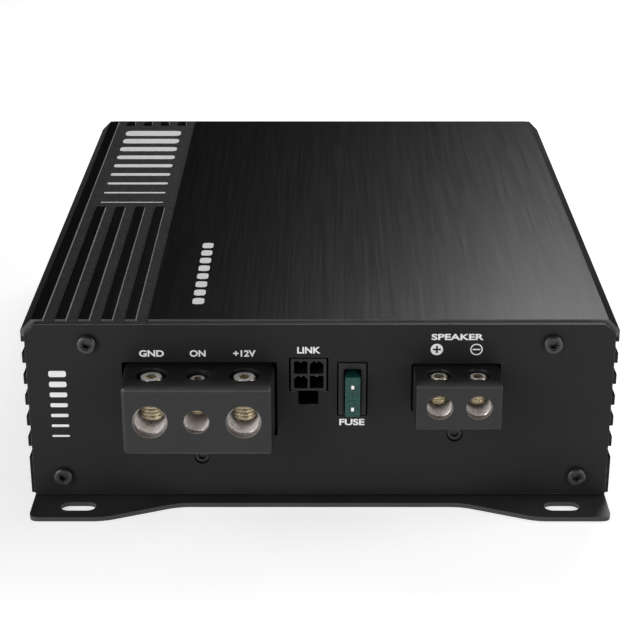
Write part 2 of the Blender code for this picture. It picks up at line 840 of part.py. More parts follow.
def fuse_clip(i, middle, rise):
    """A sheet fork that grips one blade, with a tail up to the board."""
    y = (FRONT + FUSE_HEAD_END + CLIP_IN, FRONT + CLIP_END)
    outer = CLIP_HALF + CLIP_SHEET
    fork = [(FUSE_X - outer, y[0]), (FUSE_X - CLIP_HALF, y[0]), (FUSE_X - CLIP_HALF, y[1] - CLIP_SHEET)]
    fork += [(FUSE_X + CLIP_HALF, y[1] - CLIP_SHEET), (FUSE_X + CLIP_HALF, y[0]), (FUSE_X + outer, y[0])]
    fork += [(FUSE_X + outer, y[1]), (FUSE_X - outer, y[1])]
    clip = plate(f"fuse_clip_{i}", [fork], CLIP_HEIGHT, middle, "Z", brass())
    start = y[1] - CLIP_SHEET / 2
    half = CLIP_TAIL / 2
    tail = [(start, middle - half), (rise + CLIP_SHEET, middle - half), (rise + CLIP_SHEET, UNDER_BOARD)]
    tail += [(rise, UNDER_BOARD), (rise, middle + half), (start, middle + half)]
    join(clip, plate(f"fuse_clip_tail_{i}", [tail], CLIP_TAIL, FUSE_X, "X"))


def make_fuse_holder():
    face = FRONT - PANEL_FACE
    back = FRONT + HOLDER_IN
    z = (up(HOLDER_Z[0]), up(HOLDER_Z[1]))
    holder = box("fuse_holder", HOLDER_X, (face, back), z, black_plastic(), bevel=GAP)
    centre = up(FUSE_Z)
    half = FUSE_THICK / 2 + GAP
    mouth_x = (FUSE_X - half, FUSE_X + half)
    mouth_y = (face - CLEAR, FRONT + FUSE_HEAD_END + GAP)
    mouth_z = (centre - FUSE_WIDE / 2 - GAP, up(HOLDER_MOUTH_TOP))
    cut(holder, box("fuse_mouth", mouth_x, mouth_y, mouth_z))
    for i, side in enumerate((1, -1), 1):
        middle = centre + side * BLADE_MIDDLE
        cavity_x = (FUSE_X - CAVITY_HALF, FUSE_X + CAVITY_HALF)
        cavity_y = (FRONT + FUSE_HEAD_END, back + CLEAR)
        cavity_z = (middle - CAVITY_HALF, middle + CAVITY_HALF)
        cut(holder, box(f"clip_cavity_{i}", cavity_x, cavity_y, cavity_z))
        fuse_clip(i, middle, back + (CLIP_RISES[0] if side > 0 else CLIP_RISES[1]))


def make_fuse_body():
    """The moulded head: a front flange, a narrower body behind it and a slit for the metal strip."""
    centre = up(FUSE_Z)
    front = FRONT - FUSE_OUT
    end = FRONT + FUSE_HEAD_END
    half = FUSE_THICK / 2
    x = (FUSE_X - half, FUSE_X + half)
    z = (centre - FUSE_WIDE / 2, centre + FUSE_WIDE / 2)
    teal = finish("fuse_teal", (0.02, 0.16, 0.14), 0.2)
    head = box("fuse_body", x, (front, end), z, teal, bevel=GAP, segments=2)
    waist_y = (front + FUSE_FLANGE, end + CLEAR)
    waist_z = (z[0] - CLEAR, z[1] + CLEAR)
    for i, side in enumerate((1, -1), 1):
        waist_x = sorted((FUSE_X + side * FUSE_BODY_HALF, FUSE_X + side * (half + CLEAR)))
        cut(head, box(f"fuse_waist_{i}", waist_x, waist_y, waist_z))
    slit = (FUSE_X - SLIT_HALF, FUSE_X + SLIT_HALF)
    inner, outer = FUSE_STEM
    slit_z = (centre - outer - GAP, centre + outer + GAP)
    cut(head, box("fuse_slit", slit, (FRONT - BRIDGE_OUT - 2 * GAP, end + CLEAR), slit_z))
    window_x = (FUSE_X - WINDOW_HALF, FUSE_X + WINDOW_HALF)
    for i, side in enumerate((1, -1), 1):
        stem_z = sorted((centre + side * (inner - GAP), centre + side * (outer + GAP)))
        stem_y = (front + FUSE_FACE - GAP, FRONT - BRIDGE_OUT)
        cut(head, box(f"stem_slot_{i}", slit, stem_y, stem_z))
        spot = centre + side * WINDOW_MIDDLE
        window_z = (spot - WINDOW_HALF, spot + WINDOW_HALF)
        cut(head, box(f"fuse_window_{i}", window_x, (front - CLEAR, front + FUSE_FACE), window_z))


def make_fuse_element():
    """One stamped strip: two blades joined by a bridge, with a stem up to each test window."""
    centre = up(FUSE_Z)
    inner, outer = FUSE_STEM
    shoulder = FRONT + FUSE_HEAD_END + GAP
    tip = FRONT + BLADE_END
    stem = FRONT - FUSE_OUT + FUSE_FACE
    bridge = (FRONT - BRIDGE_OUT, FRONT - BRIDGE_OUT + BRIDGE_WIDE)
    outside = 2 * BLADE_MIDDLE - inner
    corner = BLADE_CORNER
    upper = [
        (bridge[1], centre),
        (bridge[1], centre + inner),
        (tip - corner, centre + inner),
        (tip, centre + inner + corner),
        (tip, centre + outside - corner),
        (tip - corner, centre + outside),
        (shoulder, centre + outside),
        (shoulder, centre + outer),
        (stem, centre + outer),
        (stem, centre + inner),
        (bridge[0], centre + inner),
    ]
    lower = [(y, 2 * centre - z) for y, z in reversed(upper[1:])]
    plate("fuse_element", [upper + lower], FUSE_SHEET, FUSE_X, "X", brass())


# ---------------------------------------------------------------- rear sockets and controls


def make_rca_sockets():
    z = up(REAR_AXIS_Z)
    flange = BACK + RCA_FLANGE_OUT
    tip = BACK + REAR_REACH
    block_x = (RCA_X[0] - RCA_MARGIN, RCA_X[1] + RCA_MARGIN)
    block_z = (z - RCA_BELOW, up(BOARD_LOW) - 4 * GAP)
    block_y = (BACK - RCA_IN, flange)
    block = box("rca_block", block_x, block_y, block_z, black_plastic(), bevel=GAP)
    seat = tip - RCA_SLEEVE_LONG
    core_start = seat - GAP - CLEAR
    outer, inner = RCA_SLEEVE
    ring = [(inner, 0), (outer - GAP, 0), (outer, -GAP), (outer, -RCA_SLEEVE_LONG), (inner, -RCA_SLEEVE_LONG)]
    mesh = turned_mesh("rca_sleeve", ring, 20, closed=True)
    for label, x in zip(("left", "right"), RCA_X):
        core_end = tip - 4 * GAP
        cut(block, cylinder(f"rca_{label}_seat", outer + GAP, (x, seat - GAP, z), (x, flange + CLEAR, z)))
        join(block, cylinder(f"rca_{label}_core", inner - GAP, (x, core_start, z), (x, core_end, z)))
        contact_ends = ((x, flange - CLEAR, z), (x, tip, z))
        cut(block, cylinder(f"rca_{label}_contact", RCA_CONTACT, *contact_ends, segments=16))
        put(f"rca_sleeve_{label}", mesh, (x, tip, z), nickel(), (-math.pi / 2, 0, 0))


def control_shaft_mesh():
    """A stepped shaft, its wide outer end slotted for a screwdriver."""
    head_top = 0.0014
    head_low = -0.0018
    edge = 0.0004
    profile = [(0, head_top), (CONTROL_RADIUS - edge, head_top), (CONTROL_RADIUS, head_top - edge)]
    profile += [(CONTROL_RADIUS, head_low), (SPINDLE, head_low), (SPINDLE, -SPINDLE_LONG), (0, -SPINDLE_LONG)]
    shaft = bpy.data.objects.new("shaft_blank", turned_mesh("control_shaft", profile, 18))
    parts.objects.link(shaft)
    slot_x = (-CONTROL_RADIUS - CLEAR, CONTROL_RADIUS + CLEAR)
    slot = box("driver_slot", slot_x, (-DRIVER_SLOT / 2, DRIVER_SLOT / 2), (edge, head_top + CLEAR))
    cut(shaft, slot)
    mesh = baked(shaft)
    mesh.materials.clear()
    bpy.data.objects.remove(slot)
    return mesh


def make_controls():
    """Two rotary controls, each a potentiometer body with a slotted shaft that shows in the panel."""
    z = up(REAR_AXIS_Z)
    half = CONTROL_BODY / 2
    mesh = control_shaft_mesh()
    blue = finish("control_body", (0.03, 0.08, 0.2), 0.5)
    body_y = (BACK - CONTROL_IN, BACK - GAP)
    hole_start = BACK + PANEL_FACE - SPINDLE_LONG - 2 * GAP
    for label, x in zip(("level", "low_pass"), CONTROL_X):
        body = box(f"{label}_control_body", (x - half, x + half), body_y, (z - half, UNDER_BOARD), blue)
        hole_ends = ((x, hole_start, z), (x, BACK + CLEAR, z))
        cut(body, cylinder(f"{label}_spindle_hole", SPINDLE + GAP, *hole_ends, segments=16))
        put(f"{label}_control_shaft", mesh, (x, BACK + PANEL_FACE, z), black_plastic(), (-math.pi / 2, 0, 0))


def make_led():
    z = up(REAR_AXIS_Z)
    clear = finish("led_lens", (0.05, 0.2, 0.6), 0.15)
    half = 0.0025
    foot_y = (BACK - 0.006, BACK - 0.002)
    foot = box("status_led", (LED_X - half, LED_X + half), foot_y, (z - half, UNDER_BOARD), clear)
    straight = 0.0040
    profile = [(0, straight + LED_RADIUS)]
    profile += [(radius, straight + height) for radius, height in arc((0, 0), LED_RADIUS, 72, 0, 4)]
    profile += [(LED_RADIUS, -2 * OVERLAP), (0, -2 * OVERLAP)]
    dome = turned_mesh("led_dome", profile, 16)
    place = (LED_X, foot_y[1] - 2 * GAP, z)
    join(foot, put("led_dome", dome, place, None, (-math.pi / 2, 0, 0)))


# ---------------------------------------------------------------- board and what hangs from it


def make_board():
    """The board hangs under the roof with its parts facing down."""
    green = finish("circuit_board", (0.01, 0.09, 0.04), 0.5)
    ends = (FRONT + BOARD_INSET, BACK - BOARD_INSET)
    across = (-BOARD_HALF_WIDTH, BOARD_HALF_WIDTH)
    box("main_board", across, ends, (up(BOARD_LOW), up(BOARD_LOW + BOARD_THICK)), green)


def make_transformer():
    """A ferrite core with two windows, and one solid winding around its middle leg."""
    x = -0.006
    y = FRONT + 0.072
    half_width = 0.018
    half_depth = 0.006
    tall = 0.022
    leg = 0.0050
    reach = 0.0135
    top = UNDER_BOARD
    across = (x - half_width, x + half_width)
    core = box("transformer_core", across, (y - half_depth, y + half_depth), (top - tall, top), ferrite())
    window = (top - tall + 0.0045, top - 0.0045)
    through = (y - half_depth - CLEAR, y + half_depth + CLEAR)
    for i, side in enumerate((-1, 1), 1):
        span = sorted((x + side * leg, x + side * reach))
        cut(core, box(f"core_window_{i}", span, through, window))
    coil = (window[0] + GAP, window[1] - GAP)
    coil_x = (x - reach + OVERLAP, x + reach - OVERLAP)
    coil_y = (y - reach, y + reach)
    winding = box("transformer_winding", coil_x, coil_y, coil, copper(), 2 * OVERLAP)
    inside_x = (x - leg - GAP, x + leg + GAP)
    inside_y = (y - half_depth - GAP, y + half_depth + GAP)
    cut(winding, box("winding_window", inside_x, inside_y, (coil[0] - CLEAR, coil[1] + CLEAR)))


def make_inductor():
    """A drum core standing on end, with one solid winding between its flanges."""
    place = (0.028, FRONT + 0.062, UNDER_BOARD)
    flange = 0.0130
    hub = 0.0050
    rim = 0.0025
    tall = 0.0200
    core = [(0, 0), (flange, 0), (flange, -rim), (hub, -rim), (hub, rim - tall), (flange, rim - tall)]
    core += [(flange, -tall), (0, -tall)]
    put("inductor_core", turned_mesh("inductor_core", core, 18), place, ferrite())
    coil = flange - 0.0010
    ends = (-rim - GAP, rim + GAP - tall)
    winding = [(hub + GAP, ends[0]), (coil, ends[0]), (coil, ends[1]), (hub + GAP, ends[1])]
    put("inductor_winding", turned_mesh("inductor_winding", winding, 18, closed=True), place, copper())


def make_capacitors():
    radius = 0.0080
    edge = 0.0005
    neck = radius - edge
    groove = 0.0024
    length = 0.0300
    can = [(0, 0), (neck, 0), (radius, -edge), (radius, -groove), (neck, -groove - edge)]
    can += [(radius, -groove - 2 * edge), (radius, edge - length), (neck, -length), (0, -length)]
    sleeve = finish("capacitor_sleeve", (0.02, 0.02, 0.03), 0.35)
    mesh = turned_mesh("capacitor", can, 16)
    put("supply_capacitor_1", mesh, (-0.042, FRONT + 0.030, UNDER_BOARD), sleeve)
    put("supply_capacitor_2", mesh, (-0.042, FRONT + 0.049, UNDER_BOARD), sleeve)
    put("rail_capacitor", mesh, (-0.006, FRONT + 0.104, UNDER_BOARD), sleeve)


def transistor_clip(name, side, y, low):
    """A bent spring strip around the cover's inner rib, pressing the transistor against it."""
    inner = INNER_RIB[0] - TRANSISTOR_THICK - 2 * GAP
    outer = INNER_RIB[1] + GAP
    floor = up(INNER_RIB_LOW) - GAP
    reach = (low + 0.0100, low + 0.0080)
    clip = [(inner, reach[0]), (inner - SPRING_SHEET, reach[0]), (inner - SPRING_SHEET, floor - SPRING_SHEET)]
    clip += [(outer + SPRING_SHEET, floor - SPRING_SHEET), (outer + SPRING_SHEET, reach[1])]
    clip += [(outer, reach[1]), (outer, floor), (inner, floor)]
    outline = [(side * x, z) for x, z in clip]
    spring = finish("spring_steel", (0.3, 0.3, 0.3), 0.35, 1.0)
    plate(f"{name}_transistor_clip", [outline], SPRING_WIDE, y, "Y", spring)


def make_transistors():
    """A power transistor on each side, pressed against the cover's inner rib by a spring clip."""
    epoxy = finish("epoxy", (0.02, 0.02, 0.02), 0.6)
    face = INNER_RIB[0] - GAP
    low = up(INNER_RIB_LOW) + 4 * GAP
    for name, side, back in (("supply", -1, 0.070), ("output", 1, 0.100)):
        y = FRONT + back
        span = sorted((side * face, side * (face - TRANSISTOR_THICK)))
        body_y = (y - TRANSISTOR_HALF, y + TRANSISTOR_HALF)
        body = box(f"{name}_transistor", span, body_y, (low, low + TRANSISTOR_TALL), epoxy, 0.0004)
        middle = side * (face - TRANSISTOR_THICK / 2)
        lead_x = (middle - LEAD_HALF, middle + LEAD_HALF)
        lead_z = (low + TRANSISTOR_TALL - 2 * OVERLAP, UNDER_BOARD)
        for i in (-1, 0, 1):
            lead = y + i * LEAD_PITCH
            join(body, box(f"{name}_lead_{i + 2}", lead_x, (lead - LEAD_HALF, lead + LEAD_HALF), lead_z))
        transistor_clip(name, side, y, low)


clear_scene()
make_cover()
make_base_plate()
make_front_panel()
make_rear_panel()
make_panel_screws()
make_base_screws()
make_block_screws()
make_terminals()
make_link_header()
make_fuse_holder()
make_fuse_body()
make_fuse_element()
make_rca_sockets()
make_controls()
make_led()
make_board()
make_transformer()
make_inductor()
make_capacitors()
make_transistors()
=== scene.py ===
"""Looks of a car amplifier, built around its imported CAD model.

Lengths are millimetres, in the frame's axes, until a mesh is made: +Z is up and -Y faces the terminals.
The stage, lights and camera are in metres.
"""

import math

import bmesh
import bpy
from mathutils import Matrix, Vector


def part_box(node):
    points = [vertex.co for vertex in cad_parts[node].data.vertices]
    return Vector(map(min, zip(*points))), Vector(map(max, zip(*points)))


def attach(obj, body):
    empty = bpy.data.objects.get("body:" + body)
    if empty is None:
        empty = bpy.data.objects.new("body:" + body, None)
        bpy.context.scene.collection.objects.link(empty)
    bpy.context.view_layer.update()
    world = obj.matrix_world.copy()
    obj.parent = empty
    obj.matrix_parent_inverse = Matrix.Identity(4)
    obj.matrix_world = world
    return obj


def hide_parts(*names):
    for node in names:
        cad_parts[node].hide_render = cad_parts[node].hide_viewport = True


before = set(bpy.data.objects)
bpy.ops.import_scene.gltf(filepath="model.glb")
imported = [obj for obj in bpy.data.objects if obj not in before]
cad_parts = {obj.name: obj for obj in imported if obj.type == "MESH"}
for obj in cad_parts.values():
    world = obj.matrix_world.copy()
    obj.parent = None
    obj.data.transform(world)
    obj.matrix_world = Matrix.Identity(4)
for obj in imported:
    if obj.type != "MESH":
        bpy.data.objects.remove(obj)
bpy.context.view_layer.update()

MM = 0.001
PRINT = 0.04  # how far printing stands above its surface
BURIED = 0.02  # how far its back lies below the surface
SHARP = math.radians(38)
CREASE = math.radians(50)  # the least turn that is rounded on a cut piece
NOISE_RANGE = (0.3, 0.7)  # where nearly all of a noise's values lie
WHITE = (1.0, 1.0, 1.0, 1.0)


# ---- materials


def new_material(name):
    material = bpy.data.materials.new(name)
    material.use_nodes = True
    tree = material.node_tree
    return material, tree, tree.nodes["Principled BSDF"]


def noise(tree, scale, detail=3.0):
    """Noise over the object's own coordinates; the scale is features per metre on each axis."""
    coordinates = tree.nodes.new("ShaderNodeTexCoord")
    mapping = tree.nodes.new("ShaderNodeMapping")
    mapping.inputs["Scale"].default_value = scale
    pattern = tree.nodes.new("ShaderNodeTexNoise")
    pattern.inputs["Scale"].default_value = 1.0
    pattern.inputs["Detail"].default_value = detail
    pattern.inputs["Roughness"].default_value = 0.55
    tree.links.new(coordinates.outputs["Object"], mapping.inputs["Vector"])
    tree.links.new(mapping.outputs["Vector"], pattern.inputs["Vector"])
    return pattern.outputs["Fac"]


def mixed(tree, first, second, share):
    """A blend of two noises."""
    blend = tree.nodes.new("ShaderNodeMix")
    blend.data_type = "FLOAT"
    blend.inputs[0].default_value = share
    tree.links.new(first, blend.inputs[2])
    tree.links.new(second, blend.inputs[3])
    return blend.outputs[0]


def spread(tree, value, low, high):
    """The noise stretched over a range of roughness."""
    stretch = tree.nodes.new("ShaderNodeMapRange")
    stretch.inputs["From Min"].default_value = NOISE_RANGE[0]
    stretch.inputs["From Max"].default_value = NOISE_RANGE[1]
    stretch.inputs["To Min"].default_value = low
    stretch.inputs["To Max"].default_value = high
    tree.links.new(value, stretch.inputs["Value"])
    return stretch.outputs["Result"]


def tinted(tree, value, dark, light):
    """The noise as a colour between two."""
    ramp = tree.nodes.new("ShaderNodeValToRGB")
    for element, position, colour in zip(ramp.color_ramp.elements, NOISE_RANGE, (dark, light)):
        element.position = position
        element.color = (*colour, 1.0)
    tree.links.new(value, ramp.inputs["Fac"])
    return ramp.outputs["Color"]


def scale_of(grain):
    """The noise scale for a grain of that size in millimetres, or the three scales as given."""
    return grain if isinstance(grain, tuple) else (1000 / grain,) * 3


def grey(level, blue=None):
    """A grey, or with its own blue one that is slightly colder or warmer."""
    return (level, level, level if blue is None else blue)


def surface(name, dark, light, rough, grain, patch, bump, metallic=0.0, specular=0.5, share=0.5, **extra):
    """A finish whose colour and roughness wander between two values, over a fine grain that stands up."""
    material, tree, shader = new_material(name)
    fine = noise(tree, scale_of(grain))
    slow = noise(tree, scale_of(patch), 2.0)
    both = mixed(tree, fine, slow, share)
    tree.links.new(tinted(tree, both, dark, light), shader.inputs["Base Color"])
    tree.links.new(spread(tree, both, *rough), shader.inputs["Roughness"])
    shader.inputs["Metallic"].default_value = metallic
    shader.inputs["Specular IOR Level"].default_value = specular
    for label, value in extra.items():
        shader.inputs[label.replace("_", " ")].default_value = value
    relief = tree.nodes.new("ShaderNodeBump")
    relief.inputs["Strength"].default_value = 1.0
    relief.inputs["Distance"].default_value = bump * MM
    tree.links.new(fine, relief.inputs["Height"])
    tree.links.new(relief.outputs["Normal"], shader.inputs["Normal"])
    return material


brushed = surface(
    "brushed_anodised", grey(0.043, 0.0435), grey(0.062, 0.063), (0.28, 0.32), (3000, 34, 3000),
    (1100, 15, 1100), 0.0018, metallic=1.0, share=0.35, Specular_Tint=(0.6, 0.6, 0.6, 1.0),
)
recess_grey = surface(
    "blasted_recess", grey(0.0005), grey(0.036, 0.0366), (0.6, 0.75), 0.75, 9, 0.06, specular=0.18,
    share=0.04,
)
extruded = surface(
    "extruded_anodised", grey(0.012, 0.0122), grey(0.028, 0.0284), (0.3, 0.42), (1600, 25, 1600),
    (260, 12, 260), 0.004, metallic=1.0, Specular_Tint=(0.12, 0.12, 0.12, 1.0),
)
# Painted highlight: light grey on the ribs' right-facing recess walls, standing in for the light they catch
# from the right.
painted_wall_highlight = surface(
    "painted_highlight_extruded_wall", grey(0.24, 0.241), grey(0.36, 0.362), (0.4, 0.52), (1600, 25, 1600),
    (260, 12, 260), 0.002,
)
# Painted highlight: a light grey that also glows faintly, laid on the rounded edges of the panels and the
# top edges of the base plate, standing in for the light lines they catch.
painted_edge_highlight = surface(
    "painted_highlight_glowing_edge", grey(0.5, 0.502), grey(0.62, 0.622), (0.4, 0.52), 0.3, 5, 0.002,
    Emission_Color=WHITE, Emission_Strength=0.05,
)
# Painted light: a lighter grey copy of the anodised finish for the upper band of the cover's cut ends,
# standing in for the light these end faces catch.
painted_light_end = surface(
    "painted_light_end_anodised", grey(0.06, 0.0605), grey(0.11, 0.111), (0.4, 0.52), 0.25, 5, 0.006, specular=0.4,
)
powder = surface(
    "fine_powder_coat", grey(0.005, 0.0052), grey(0.0105, 0.0108), (0.5, 0.62), 0.3, 14, 0.014,
    specular=0.24, share=0.3,
)
plate_paint = surface(
    "plate_powder_coat", grey(0.02, 0.0203), grey(0.036, 0.0364), (0.36, 0.5), 0.3, 16, 0.008,
    specular=0.4,
)
plastic = surface(
    "moulded_black", grey(0.008, 0.0082), grey(0.0145, 0.0147), (0.42, 0.55), 0.28, 7, 0.010,
    specular=0.4,
)
# Painted highlight: a lighter grey on the terminal blocks' rounded top front edge, standing in for the
# light it catches.
painted_plastic_highlight = surface(
    "painted_highlight_moulded_edge", grey(0.026, 0.0262), grey(0.042, 0.0423), (0.36, 0.46), 0.28, 3, 0.008,
)
dark_plastic = surface("moulded_dark", grey(0.006), grey(0.012), (0.4, 0.52), 0.2, 5, 0.008, specular=0.35)
nickel = surface(
    "satin_nickel", (0.62, 0.59, 0.54), (0.83, 0.81, 0.77), (0.2, 0.34), 0.5, 2.4, 0.004, metallic=1.0,
)
nickel_top = surface(
    "bright_nickel", (0.86, 0.85, 0.81), (0.97, 0.96, 0.93), (0.24, 0.36), 0.5, 2.0, 0.004,
    metallic=0.45,
)
nickel_bore = surface(
    "drawn_nickel", (0.92, 0.87, 0.85), (0.99, 0.96, 0.94), (0.24, 0.34), (260, 3200, 260), 2.0, 0.003,
    metallic=0.2,
)
nickel_lip = surface(
    "lip_nickel", (0.24, 0.22, 0.21), (0.4, 0.37, 0.36), (0.35, 0.5), 0.5, 1.8, 0.004, metallic=0.5,
)
nickel_thread = surface(
    "thread_nickel", (0.5, 0.45, 0.32), (0.64, 0.58, 0.43), (0.24, 0.32), 0.6, 1.6, 0.001, metallic=0.9,
)
# Painted shade: a darker, duller copy of the black oxide screw finish for the two block screws, standing in
# for the shade under the terminal blocks.
painted_shade_screw = surface(
    "painted_shade_black_oxide", grey(0.005), grey(0.011, 0.0112), (0.38, 0.5), 0.3, 3, 0.004, specular=0.45,
)
screw_black = surface(
    "black_oxide", grey(0.012, 0.0122), grey(0.026, 0.0265), (0.26, 0.36), 0.3, 3, 0.004, metallic=0.2,
    specular=0.7,
)
tin = surface(
    "tinned_brass", (0.5, 0.45, 0.34), (0.78, 0.74, 0.64), (0.25, 0.4), 0.4, 2, 0.004, metallic=1.0,
)
teal = surface(
    "teal_polycarbonate", (0.003, 0.04, 0.037), (0.009, 0.088, 0.068), (0.2, 0.32), 0.9, 2.4, 0.003,
    specular=0.22, Transmission_Weight=0.25, IOR=1.58,
)
white_print = surface("white_screen_print", grey(0.72, 0.71), grey(0.82, 0.81), (0.45, 0.6), 0.15, 2, 0.006)
# White print that also glows faintly; the glow is painted light.
glowing_panel_print = surface(
    "white_panel_print_painted_glow", grey(0.6), grey(0.7), (0.45, 0.6), 0.15, 2, 0.006, Emission_Color=WHITE,
    Emission_Strength=0.08,
)
red_plastic = surface("moulded_red", (0.32, 0.02, 0.015), (0.42, 0.03, 0.022), (0.3, 0.42), 0.3, 4, 0.004)
white_plastic = surface("moulded_white", (0.68, 0.67, 0.64), (0.76, 0.75, 0.72), (0.3, 0.42), 0.3, 4, 0.004)
lens_blue = surface(
    "tinted_epoxy", (0.03, 0.13, 0.42), (0.05, 0.19, 0.55), (0.1, 0.18), 0.6, 2, 0.002,
    Transmission_Weight=0.5, IOR=1.5,
)
control_blue = surface("control_case", (0.015, 0.05, 0.14), (0.03, 0.08, 0.2), (0.4, 0.55), 0.3, 4, 0.006)
board_green = surface(
    "solder_mask", (0.006, 0.06, 0.028), (0.014, 0.1, 0.045), (0.3, 0.5), (900, 120, 900), 6, 0.01,
)
ferrite_grey = surface("ground_ferrite", grey(0.03, 0.032), grey(0.07, 0.072), (0.55, 0.75), 0.4, 5, 0.02)
copper_wound = surface(
    "enamelled_winding", (0.3, 0.09, 0.03), (0.62, 0.24, 0.09), (0.25, 0.4), (90, 90, 1400), 8, 0.12,
    metallic=0.9,
)
sleeve_black = surface("shrink_sleeve", grey(0.012, 0.02), grey(0.025, 0.035), (0.25, 0.4), 1.2, 12, 0.01)
epoxy_black = surface("moulded_epoxy", grey(0.014), grey(0.028), (0.5, 0.65), 0.25, 4, 0.012)
spring_bright = surface(
    "spring_steel", grey(0.22), grey(0.4), (0.25, 0.4), (120, 120, 1600), 5, 0.004, metallic=1.0,
)


# ---- mesh helpers


def span(node):
    """A CAD node's lowest and highest corner, in millimetres."""
    low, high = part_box(node)
    return low / MM, high / MM


def centre(node):
    low, high = span(node)
    return (low + high) / 2


def pairs(node):
    """A CAD node's extent as (x, y, z) pairs."""
    low, high = span(node)
    return (low.x, high.x), (low.y, high.y), (low.z, high.z)


def placed(name, data):
    """A new object in the scene."""
    obj = bpy.data.objects.new(name, data)
    bpy.context.scene.collection.objects.link(obj)
    return obj


def piece(name, mesh, slot, *nodes, body="housing"):
    """A shown piece that rides on a body and stands for CAD nodes, which it hides; the slot is not used."""
    obj = placed(name, mesh)
    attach(obj, body)
    if nodes:
        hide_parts(*nodes)


def to_mesh(shape, name, *materials):
    """A bmesh in millimetres as a welded mesh in metres."""
    bmesh.ops.remove_doubles(shape, verts=shape.verts, dist=0.0005)
    bmesh.ops.recalc_face_normals(shape, faces=shape.faces)
    bmesh.ops.scale(shape, vec=(MM, MM, MM), verts=shape.verts)
    mesh = bpy.data.meshes.new(name)
    shape.to_mesh(mesh)
    shape.free()
    for material in materials:
        mesh.materials.append(material)
    return mesh


def from_mesh(mesh):
    """The mesh back as a bmesh in millimetres."""
    shape = bmesh.new()
    shape.from_mesh(mesh)
    bmesh.ops.scale(shape, vec=(1 / MM,) * 3, verts=shape.verts)
    return shape


def applied(data, *steps):
    """The mesh that a mesh, curve or text gives after modifiers, each given as (type, settings)."""
    obj = placed("work", data)
    for kind, settings in steps:
        modifier = obj.modifiers.new(kind.lower(), kind)
        for label, value in settings.items():
            setattr(modifier, label, value)
    graph = bpy.context.evaluated_depsgraph_get()
    made = bpy.data.meshes.new_from_object(obj.evaluated_get(graph))
    bpy.data.objects.remove(obj)
    return made


def bevelled(mesh, width, segments=2, angle=SHARP, weighted=True):
    """Rounds the sharp edges and keeps the flat faces flat to the eye."""
    bevel = {"width": width * MM, "segments": segments, "limit_method": "ANGLE", "angle_limit": angle}
    bevel["miter_outer"] = "MITER_ARC"
    return smooth(applied(mesh, ("BEVEL", bevel)), weighted)


def smooth(mesh, weighted=True, angle=SHARP):
    """Shades the mesh round between its sharp edges."""
    mesh.shade_smooth()
    mesh.set_sharp_from_angle(angle=angle)
    if weighted:
        mesh = applied(mesh, ("WEIGHTED_NORMAL", {"keep_sharp": True, "weight": 80}))
    return mesh


def cut_by(mesh, *tools, operation="DIFFERENCE"):
    """The mesh less, or joined with, other meshes."""
    hidden = []
    steps = []
    for tool in tools:
        obj = placed("tool", tool)
        hidden.append(obj)
        steps.append(("BOOLEAN", {"operation": operation, "solver": "EXACT", "object": obj}))
    made = applied(mesh, *steps)
    for obj in hidden:
        bpy.data.objects.remove(obj)
    return made


def block(x, y, z, *materials, name="block"):
    """A box between two values on each axis."""
    low = Vector((x[0], y[0], z[0]))
    high = Vector((x[1], y[1], z[1]))
    shape = bmesh.new()
    place = Matrix.Translation((low + high) / 2) @ Matrix.Diagonal((*(high - low), 1.0))
    bmesh.ops.create_cube(shape, size=1.0, matrix=place)
    return to_mesh(shape, name, *materials)


def rod(radius, start, end, segments=48, end_radius=None, turn=0.0):
    """A round or, with few segments, many-sided bar; end_radius makes it a cone."""
    start = Vector(start)
    end = Vector(end)
    along = end - start
    place = Matrix.Translation((start + end) / 2) @ along.to_track_quat("Z", "Y").to_matrix().to_4x4()
    place = place @ Matrix.Rotation(turn, 4, "Z")
    shape = bmesh.new()
    bmesh.ops.create_cone(
        shape,
        cap_ends=True,
        segments=segments,
        radius1=radius,
        radius2=radius if end_radius is None else end_radius,
        depth=along.length,
        matrix=place,
    )
    return to_mesh(shape, "rod")


def turned(profile, place, name, *materials, steps=48, closed=False):
    """A shape turned about local Z, from a profile of radius and height."""
    shape = bmesh.new()
    rings = []
    for radius, height in profile:
        if radius < 1e-6:
            rings.append([shape.verts.new((0, 0, height))])
            continue
        rings.append([shape.verts.new((*point, height)) for point in ring((0, 0), radius, steps)])
    for k in range(len(rings) if closed else len(rings) - 1):
        upper = rings[k]
        lower = rings[(k + 1) % len(rings)]
        for i in range(steps):
            j = (i + 1) % steps
            if len(upper) == 1:
                corners = (upper[0], lower[i], lower[j])
            elif len(lower) == 1:
                corners = (upper[j], upper[i], lower[0])
            else:
                corners = (upper[j], upper[i], lower[i], lower[j])
            shape.faces.new(corners)
    shape.transform(place)
    return to_mesh(shape, name, *materials)


def facing(point, way):
    """A place for turned shapes, their local Z along a world axis."""
    turns = {
        "up": Matrix.Identity(4),
        "down": Matrix.Rotation(math.pi, 4, "X"),
        "front": Matrix.Rotation(math.pi / 2, 4, "X"),
        "back": Matrix.Rotation(-math.pi / 2, 4, "X"),
    }
    return Matrix.Translation(point) @ turns[way]


def sheet(outlines, low, high, along, name, *materials):
    """A flat outline and its holes, thick from low to high along X, Y or Z, as CAD plates are."""
    curve = bpy.data.curves.new(name, "CURVE")
    curve.dimensions = "2D"
    curve.fill_mode = "BOTH"
    curve.extrude = (high - low) / 2
    for outline in outlines:
        spline = curve.splines.new("POLY")
        spline.points.add(len(outline) - 1)
        for point, (across, upward) in zip(spline.points, outline):
            point.co = (across, upward, 0.0, 1.0)
        spline.use_cyclic_u = True
    shape = bmesh.new()
    shape.from_mesh(applied(curve))
    middle = (low + high) / 2
    quarter = math.pi / 2
    upright = Matrix.Rotation(quarter, 4, "X")
    turns = {
        "X": Matrix.Translation((middle, 0, 0)) @ Matrix.Rotation(quarter, 4, "Z") @ upright,
        "Y": Matrix.Translation((0, middle, 0)) @ upright,
        "Z": Matrix.Translation((0, 0, middle)),
    }
    shape.transform(turns[along])
    return to_mesh(shape, name, *materials)


